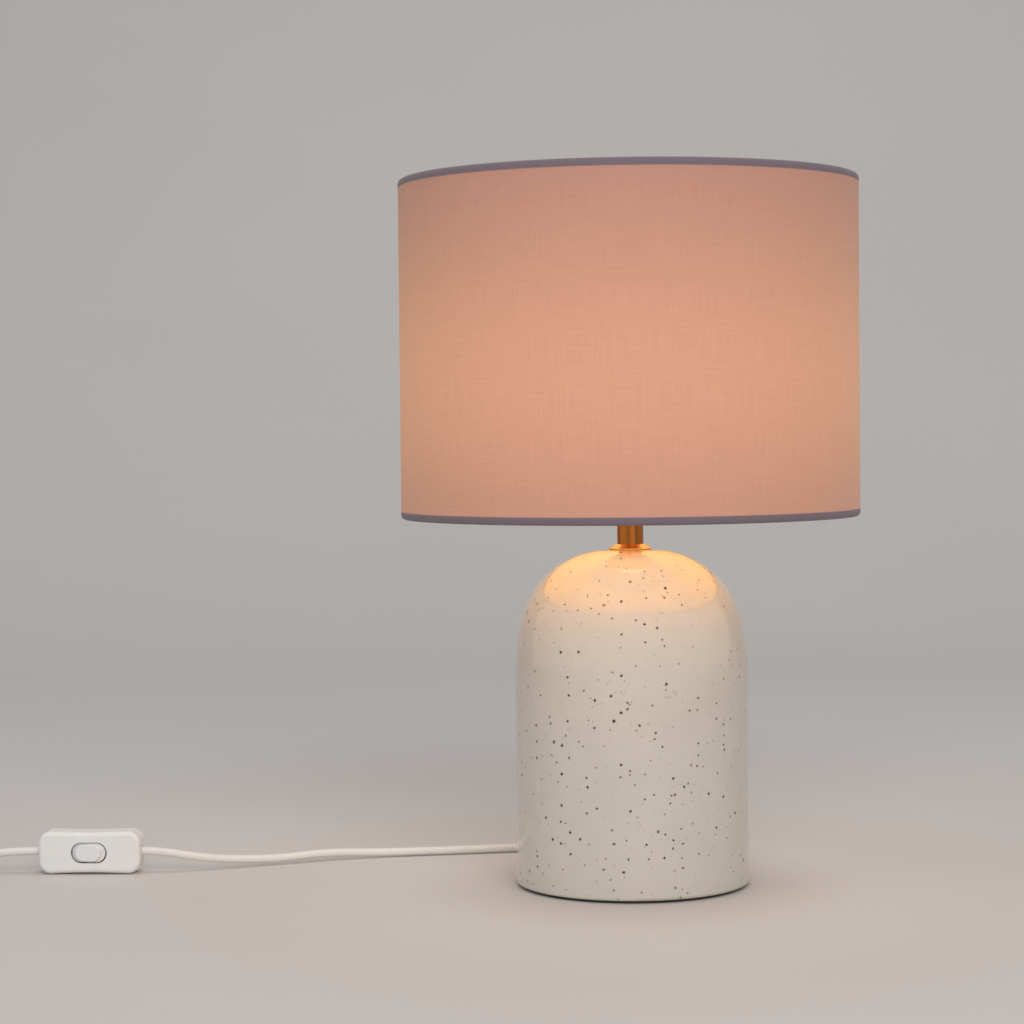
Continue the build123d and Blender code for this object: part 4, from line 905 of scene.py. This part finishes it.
def stitch_tree():
    """Row of stitches along a line of edges."""
    tree, given, result = node_tree("Stitches", "Spacing", "Length", "Thickness")
    path = add(tree, "GeometryNodeMeshToCurve", {0: given["Geometry"]})
    spots = add(
        tree,
        "GeometryNodeCurveToPoints",
        {"Curve": path.outputs[0], "Length": given["Spacing"]},
        mode="LENGTH",
    )
    size = (given["Thickness"], given["Thickness"], given["Length"])
    scatter(tree, given, result, spots.outputs["Points"], spots.outputs["Rotation"], size, STITCH_DETAIL)
    return tree


def photo_camera(lens):
    """Camera where the photograph was taken."""
    data = bpy.data.cameras.new("photo_camera")
    data.lens = lens
    data.sensor_width = SENSOR_MM
    camera = object_of("photo_camera", data)
    pose = Matrix.Translation(EYE)
    for degrees, axis in ((-YAW, "Z"), (90 + PITCH, "X"), (ROLL, "Z")):
        pose @= Matrix.Rotation(math.radians(degrees), 4, axis)
    camera.matrix_world = pose
    return camera


def softbox(name, spot, target, size, power):
    """Large soft light at a spot, turned towards a target."""
    data = bpy.data.lights.new(name, "AREA")
    data.shape = "DISK"
    data.size = size
    data.energy = power
    light = object_of(name, data)
    light.location = spot
    light.rotation_euler = (Vector(target) - Vector(spot)).to_track_quat("-Z", "Y").to_euler()
    light.visible_glossy = False
    return light


def studio_world(sky, backdrop):
    """Even surroundings that light the lamp at one strength, and are seen and mirrored at another."""
    world = bpy.data.worlds.new("studio_world")
    world.use_nodes = True
    tree = world.node_tree
    path = tree.nodes.new("ShaderNodeLightPath").outputs
    mirrored = maths("MAXIMUM", path["Is Glossy Ray"], path["Is Transmission Ray"])
    seen = maths("MAXIMUM", path["Is Camera Ray"], mirrored)
    background = tree.nodes["Background"]
    background.inputs["Color"].default_value = SKY_TINT
    connect(background, Strength=linear(seen, backdrop - sky, sky))
    return world


class LAMP_OT_stage(bpy.types.Operator):
    """Set up the pale floor, the soft lights, the bulb's light and the camera"""

    bl_idname = "lamp.stage"
    bl_label = "Studio"

    def execute(self, context):
        studio = context.scene.lamp_studio
        context.scene.view_settings.view_transform = "Standard"
        outline = [(FLOOR_FRONT, 0.0), (BEND_Y, 0.0)]
        outline += arc(BEND_Y, BEND_R, BEND_R, -90, 0, 16)[1:] + [(BEND_Y + BEND_R, BACKDROP_TOP)]
        mesh = bmesh.new()
        sides = (-FLOOR_HALF, FLOOR_HALF)
        edges = [[mesh.verts.new((x, y, z - FLOOR_DROP)) for y, z in outline] for x in sides]
        for i in range(len(outline) - 1):
            face = mesh.faces.new((edges[0][i], edges[1][i], edges[1][i + 1], edges[0][i + 1]))
            face.smooth = True
        sweep = mesh_of("studio_sweep", mesh)
        object_of("studio_sweep", sweep, finishes(floor_material))
        for name, (spot, size) in SOFTBOXES.items():
            softbox(f"{name}_light", spot, LIT_SPOT, size, getattr(studio, f"{name}_power"))
        data = bpy.data.lights.new("bulb_light", "POINT")
        data.energy = studio.bulb_power
        data.color = BULB_TINT
        data.shadow_soft_size = GLOBE_R + MM
        bulb = object_of("bulb_light", data)
        bulb.location = (0, 0, GLOBE_Z)
        bulb.visible_camera = False
        bulb.visible_glossy = False
        mouth = (0, 0, SHADE_LOW.z + HEM_R)
        down = softbox("downlight", mouth, (0, 0, 0), 2 * (SHADE_R - HEM_BAND), studio.downlight_power)
        down.data.color = BULB_TINT
        down.visible_camera = False
        context.scene.world = studio_world(studio.sky, studio.backdrop)
        context.scene.camera = photo_camera(studio.lens)
        return {"FINISHED"}


class LAMP_OT_cords(bpy.types.Operator):
    """Lay the cord from the base to the switch, and on through its coil to the plug"""

    bl_idname = "lamp.cords"
    bl_label = "Cords"

    def execute(self, context):
        diameter = context.scene.lamp_sizes.cord_diameter
        sheath = plain("cord_sheath")
        near = cord_curve("cord_lamp_to_switch", TO_SWITCH, diameter, sheath)
        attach(near, "base")
        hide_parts("cord_base_to_switch")
        turns, end = coil_points()
        to_plug = [
            end,
            end - Vector((0, COIL_LEAD, 0)),
            end - Vector((0, COIL_LEAD + COIL_STRAIGHT, 0)),
            (end.x + 0.6, end.y - COIL_LEAD - 26, 12.4),
            (end.x, PLUG_SOCKET_Y + 28, PLUG_MID_Z),
            (end.x, PLUG_SOCKET_Y, PLUG_MID_Z),
        ]
        far = cord_curve("cord_switch_to_plug", TO_COIL + turns + to_plug, diameter, sheath)
        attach(far, "base")
        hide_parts("cord_switch_to_coil", "cord_coil", "cord_coil_to_plug")
        return {"FINISHED"}


class LAMP_OT_base(bpy.types.Operator):
    """Finish the glazed base, its pad and the cord's bush"""

    bl_idname = "lamp.base"
    bl_label = "Glazed base"

    def execute(self, context):
        finish(finishes(glaze_material), "ceramic_base")
        finish("pad_foam", "base_pad")
        finish("bush_plastic", "cord_grommet", "cord_stop")
        finish("cord_sheath", "cord_inside")
        finish("core_brown", "core_live")
        finish("core_blue", "core_neutral")
        return {"FINISHED"}


class LAMP_OT_neck(bpy.types.Operator):
    """Finish the brass neck and the steel that ties it to the base"""

    bl_idname = "lamp.neck"
    bl_label = "Brass neck"

    def execute(self, context):
        finish("neck_brass", "neck_tube")
        finish("flange_brass", "neck_flange")
        finish("zinc_steel", "threaded_nipple", "nipple_steel_washer", "nipple_nut")
        finish("washer_rubber", "nipple_rubber_washer")
        return {"FINISHED"}


class LAMP_OT_lampholder(bpy.types.Operator):
    """Finish the lampholder and the ring that clamps the shade on it"""

    bl_idname = "lamp.lampholder"
    bl_label = "Lampholder"

    def execute(self, context):
        finish("holder_plastic", "lampholder_cap", "lampholder_skirt", "shade_clamp_ring")
        finish("insert_steatite", "lampholder_insert")
        finish("contact_brass", "lampholder_terminals", "lampholder_centre_contact")
        finish("contact_brass", "lampholder_screw_shell")
        finish("zinc_steel", "lampholder_lock_screw", "lampholder_terminal_screws")
        return {"FINISHED"}


class LAMP_OT_bulb(bpy.types.Operator):
    """Finish the lit opal bulb"""

    bl_idname = "lamp.bulb"
    bl_label = "Bulb"

    def execute(self, context):
        finish(finishes(opal_material), "bulb_glass")
        finish(finishes(clear_glass_material), "bulb_stem")
        finish("cap_metal", "bulb_cap", "bulb_tip_contact")
        finish("cap_insulator", "bulb_insulator")
        finish("filament_coat", "bulb_filaments")
        return {"FINISHED"}


def shade_outline():
    """Section of the cotton: outer wall with a proud band at each rim, and a hem rolled round each wire."""
    low = SHADE_LOW.z + HEM_R
    high = SHADE_HIGH.z - HEM_R
    centre = SHADE_R - HEM_R
    proud = SHADE_R + HEM_PROUD
    outside = [(SHADE_R, low), (proud, low + HEM_STEP), (proud, BAND_LOW - HEM_STEP)]
    outside += run((SHADE_R, BAND_LOW), (SHADE_R, BAND_HIGH), 30)
    outside += [(proud, BAND_HIGH + HEM_STEP), (proud, high - HEM_STEP)]
    inside = HEM_R - FABRIC_T
    top = arc(centre, high, HEM_R, 0, HEM_TURN, 16) + arc(centre, high, inside, HEM_TURN, 0, 14)
    bottom = arc(centre, low, inside, 0, -HEM_TURN, 14) + arc(centre, low, HEM_R, -HEM_TURN, 0, 16)[:-1]
    return outside + top + bottom, len(outside)


class LAMP_OT_shade(bpy.types.Operator):
    """Make the cotton of the drum shade, with its hems, lap seam and slubs, and finish its frame"""

    bl_idname = "lamp.shade"
    bl_label = "Shade"

    def execute(self, context):
        sizes = context.scene.lamp_sizes
        outline, outside = shade_outline()
        seam = math.radians(SEAM_AT)
        seam_end = seam + SEAM_W / SHADE_R
        edge = SEAM_EDGE / SHADE_R
        even = [2 * math.pi * i / SHADE_AROUND for i in range(SHADE_AROUND)]
        clear = [a for a in even if not seam - 2 * edge < a < seam_end + 2 * edge]
        steps = [seam + (seam_end - seam) * i / SEAM_STEPS for i in range(SEAM_STEPS)]
        turns = sorted([*clear, seam - edge, *steps, seam_end, seam_end + edge])

        def lift(angle, index):
            """Second layer of cotton on the outside of the lap."""
            return FABRIC_T if index < outside and seam <= angle <= seam_end else 0.0

        mesh = lathe("shade_cotton", outline, turns, lift)
        cotton = object_of("shade_cotton", mesh, finishes(cloth_material))
        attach(cotton, "shade")
        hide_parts("shade_fabric")
        margin = HEM_BAND + SLUB_MARGIN
        patch = bmesh.new()
        bmesh.ops.create_cone(
            patch,
            segments=SHADE_AROUND,
            radius1=SHADE_R,
            radius2=SHADE_R,
            depth=SHADE_HIGH.z - SHADE_LOW.z - 2 * margin,
            matrix=Matrix.Translation((0, 0, (SHADE_HIGH.z + SHADE_LOW.z) / 2)),
        )
        slubs = grown(
            "shade_slubs",
            mesh_of("slub_wall", patch),
            slub_tree(),
            density=sizes.slub_density,
            length=sizes.slub_length,
            width=SLUB_W,
            thickness=SLUB_T,
            seed=SLUB_SEED,
            material=finishes(slub_material),
        )
        yarn = object_of("shade_slubs", slubs)
        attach(yarn, "shade")
        finish(finishes(liner_material), "shade_liner")
        finish("frame_powder_coat", "shade_top_ring", "shade_bottom_ring", "shade_spokes", "shade_fitter")
        return {"FINISHED"}


class LAMP_OT_switch(bpy.types.Operator):
    """Finish the inline switch, inside and out"""

    bl_idname = "lamp.switch"
    bl_label = "Inline switch"

    def execute(self, context):
        finish("switch_plastic", "switch_front_shell", "switch_rear_shell", "switch_rocker")
        finish("holder_plastic", "switch_plunger", "switch_cord_clamps")
        terminals = ("switch_pivot_terminal", "switch_fixed_terminal", "switch_neutral_link")
        finish("contact_brass", "switch_seesaw", *terminals)
        screws = ("switch_terminal_screws", "switch_clamp_screws", "switch_case_screws")
        finish("zinc_steel", *screws, "switch_spring")
        return {"FINISHED"}


def strap_mesh():
    """Strap round the bundle: a rounded loop with a flat tab lying on top of it."""
    middle = (TIE_LOW + TIE_HIGH) / 2
    width = TIE_HIGH.x - TIE_LOW.x
    corner = STRAP_CORNER
    top = TIE_HIGH.z - STRAP_T
    spots = []
    for y, z, start in (
        (TIE_HIGH.y - corner, top - corner, 0),
        (TIE_LOW.y + corner, top - corner, 90),
        (TIE_LOW.y + corner, corner, 180),
        (TIE_HIGH.y - corner, corner, 270),
    ):
        spots += arc(y, z, corner - STRAP_T / 2, start, start + 90, 8)
    mesh = bmesh.new()
    uv = mesh.loops.layers.uv.new("UVMap")
    across = [middle.x + width * (i / STRAP_COLUMNS - 0.5) for i in range(STRAP_COLUMNS + 1)]

    def strip(points, closed):
        """Band of faces along points, with a UV map in metres."""
        rows = [[mesh.verts.new((x, y, z)) for x in across] for y, z in points]
        count = len(points) if closed else len(points) - 1
        length = 0.0
        for i in range(count):
            here = rows[i]
            there = rows[(i + 1) % len(rows)]
            step = (there[0].co - here[0].co).length
            for j in range(len(across) - 1):
                face = mesh.faces.new((here[j], there[j], there[j + 1], here[j + 1]))
                face.smooth = True
                corners = ((j, length), (j, length + step), (j + 1, length + step), (j + 1, length))
                for loop, (k, v) in zip(face.loops, corners):
                    loop[uv].uv = (across[k], v)
            length += step

    strip(spots, True)
    tab_y = TIE_LOW.y + 1.5 * corner
    tab_z = top + STRAP_T / 2
    strip(run((tab_y, tab_z), (tab_y + STRAP_TAB, tab_z), 6), False)
    return mesh_of("coil_strap", mesh)


class LAMP_OT_plug(bpy.types.Operator):
    """Finish the plug, and make the strap that ties the coil"""

    bl_idname = "lamp.plug"
    bl_label = "Plug and tie"

    def execute(self, context):
        finish("plug_plastic", "plug_body")
        finish("pin_nickel", "plug_pins")
        finish("pin_sleeve", "plug_pin_sleeves")
        strap = object_of("coil_strap", strap_mesh(), finishes(strap_material))
        solid = strap.modifiers.new("Thickness", "SOLIDIFY")
        solid.thickness = 0.9 * STRAP_T
        solid.offset = 0
        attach(strap, "base")
        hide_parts("coil_tie")
        line = bpy.data.meshes.new("stitch_line")
        y = TIE_LOW.y + 0.8 * STRAP_TAB
        x = (TIE_LOW.x + TIE_HIGH.x) / 2
        half = (TIE_HIGH.x - TIE_LOW.x) / 2 - MM
        line.from_pydata([(x - half, y, TIE_HIGH.z), (x + half, y, TIE_HIGH.z)], [(0, 1)], [])
        made = grown(
            "coil_strap_stitches",
            line,
            stitch_tree(),
            spacing=STITCH_SPACING,
            length=STITCH_LENGTH,
            thickness=STITCH_T,
            material=plain("tie_thread"),
        )
        stitches = object_of("coil_strap_stitches", made)
        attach(stitches, "base")
        return {"FINISHED"}


OPERATORS = (
    LAMP_OT_stage,
    LAMP_OT_base,
    LAMP_OT_neck,
    LAMP_OT_lampholder,
    LAMP_OT_bulb,
    LAMP_OT_shade,
    LAMP_OT_switch,
    LAMP_OT_plug,
    LAMP_OT_cords,
)


class LAMP_PT_panel(bpy.types.Panel):
    """Lamp pieces and the values behind them"""

    bl_label = "Table lamp"
    bl_idname = "LAMP_PT_panel"
    bl_space_type = "VIEW_3D"
    bl_region_type = "UI"
    bl_category = "Lamp"

    def draw(self, context):
        for operator in OPERATORS:
            self.layout.operator(operator.bl_idname)
        for group in (context.scene.lamp_sizes, context.scene.lamp_finishes, context.scene.lamp_studio):
            box = self.layout.box()
            for name in group.bl_rna.properties.keys():
                if name not in {"rna_type", "name"}:
                    box.prop(group, name)


CLASSES = (LampSizes, LampFinishes, LampStudio, *OPERATORS, LAMP_PT_panel)


def register():
    for made in CLASSES:
        bpy.utils.register_class(made)
    bpy.types.Scene.lamp_sizes = PointerProperty(type=LampSizes)
    bpy.types.Scene.lamp_finishes = PointerProperty(type=LampFinishes)
    bpy.types.Scene.lamp_studio = PointerProperty(type=LampStudio)


def unregister():
    del bpy.types.Scene.lamp_studio
    del bpy.types.Scene.lamp_finishes
    del bpy.types.Scene.lamp_sizes
    for made in reversed(CLASSES):
        bpy.utils.unregister_class(made)


def main():
    """Registers the add-on and makes every piece."""
    register()
    for operator in OPERATORS:
        category, name = operator.bl_idname.split(".")
        getattr(getattr(bpy.ops, category), name)()


if __name__ == "__main__":
    main()
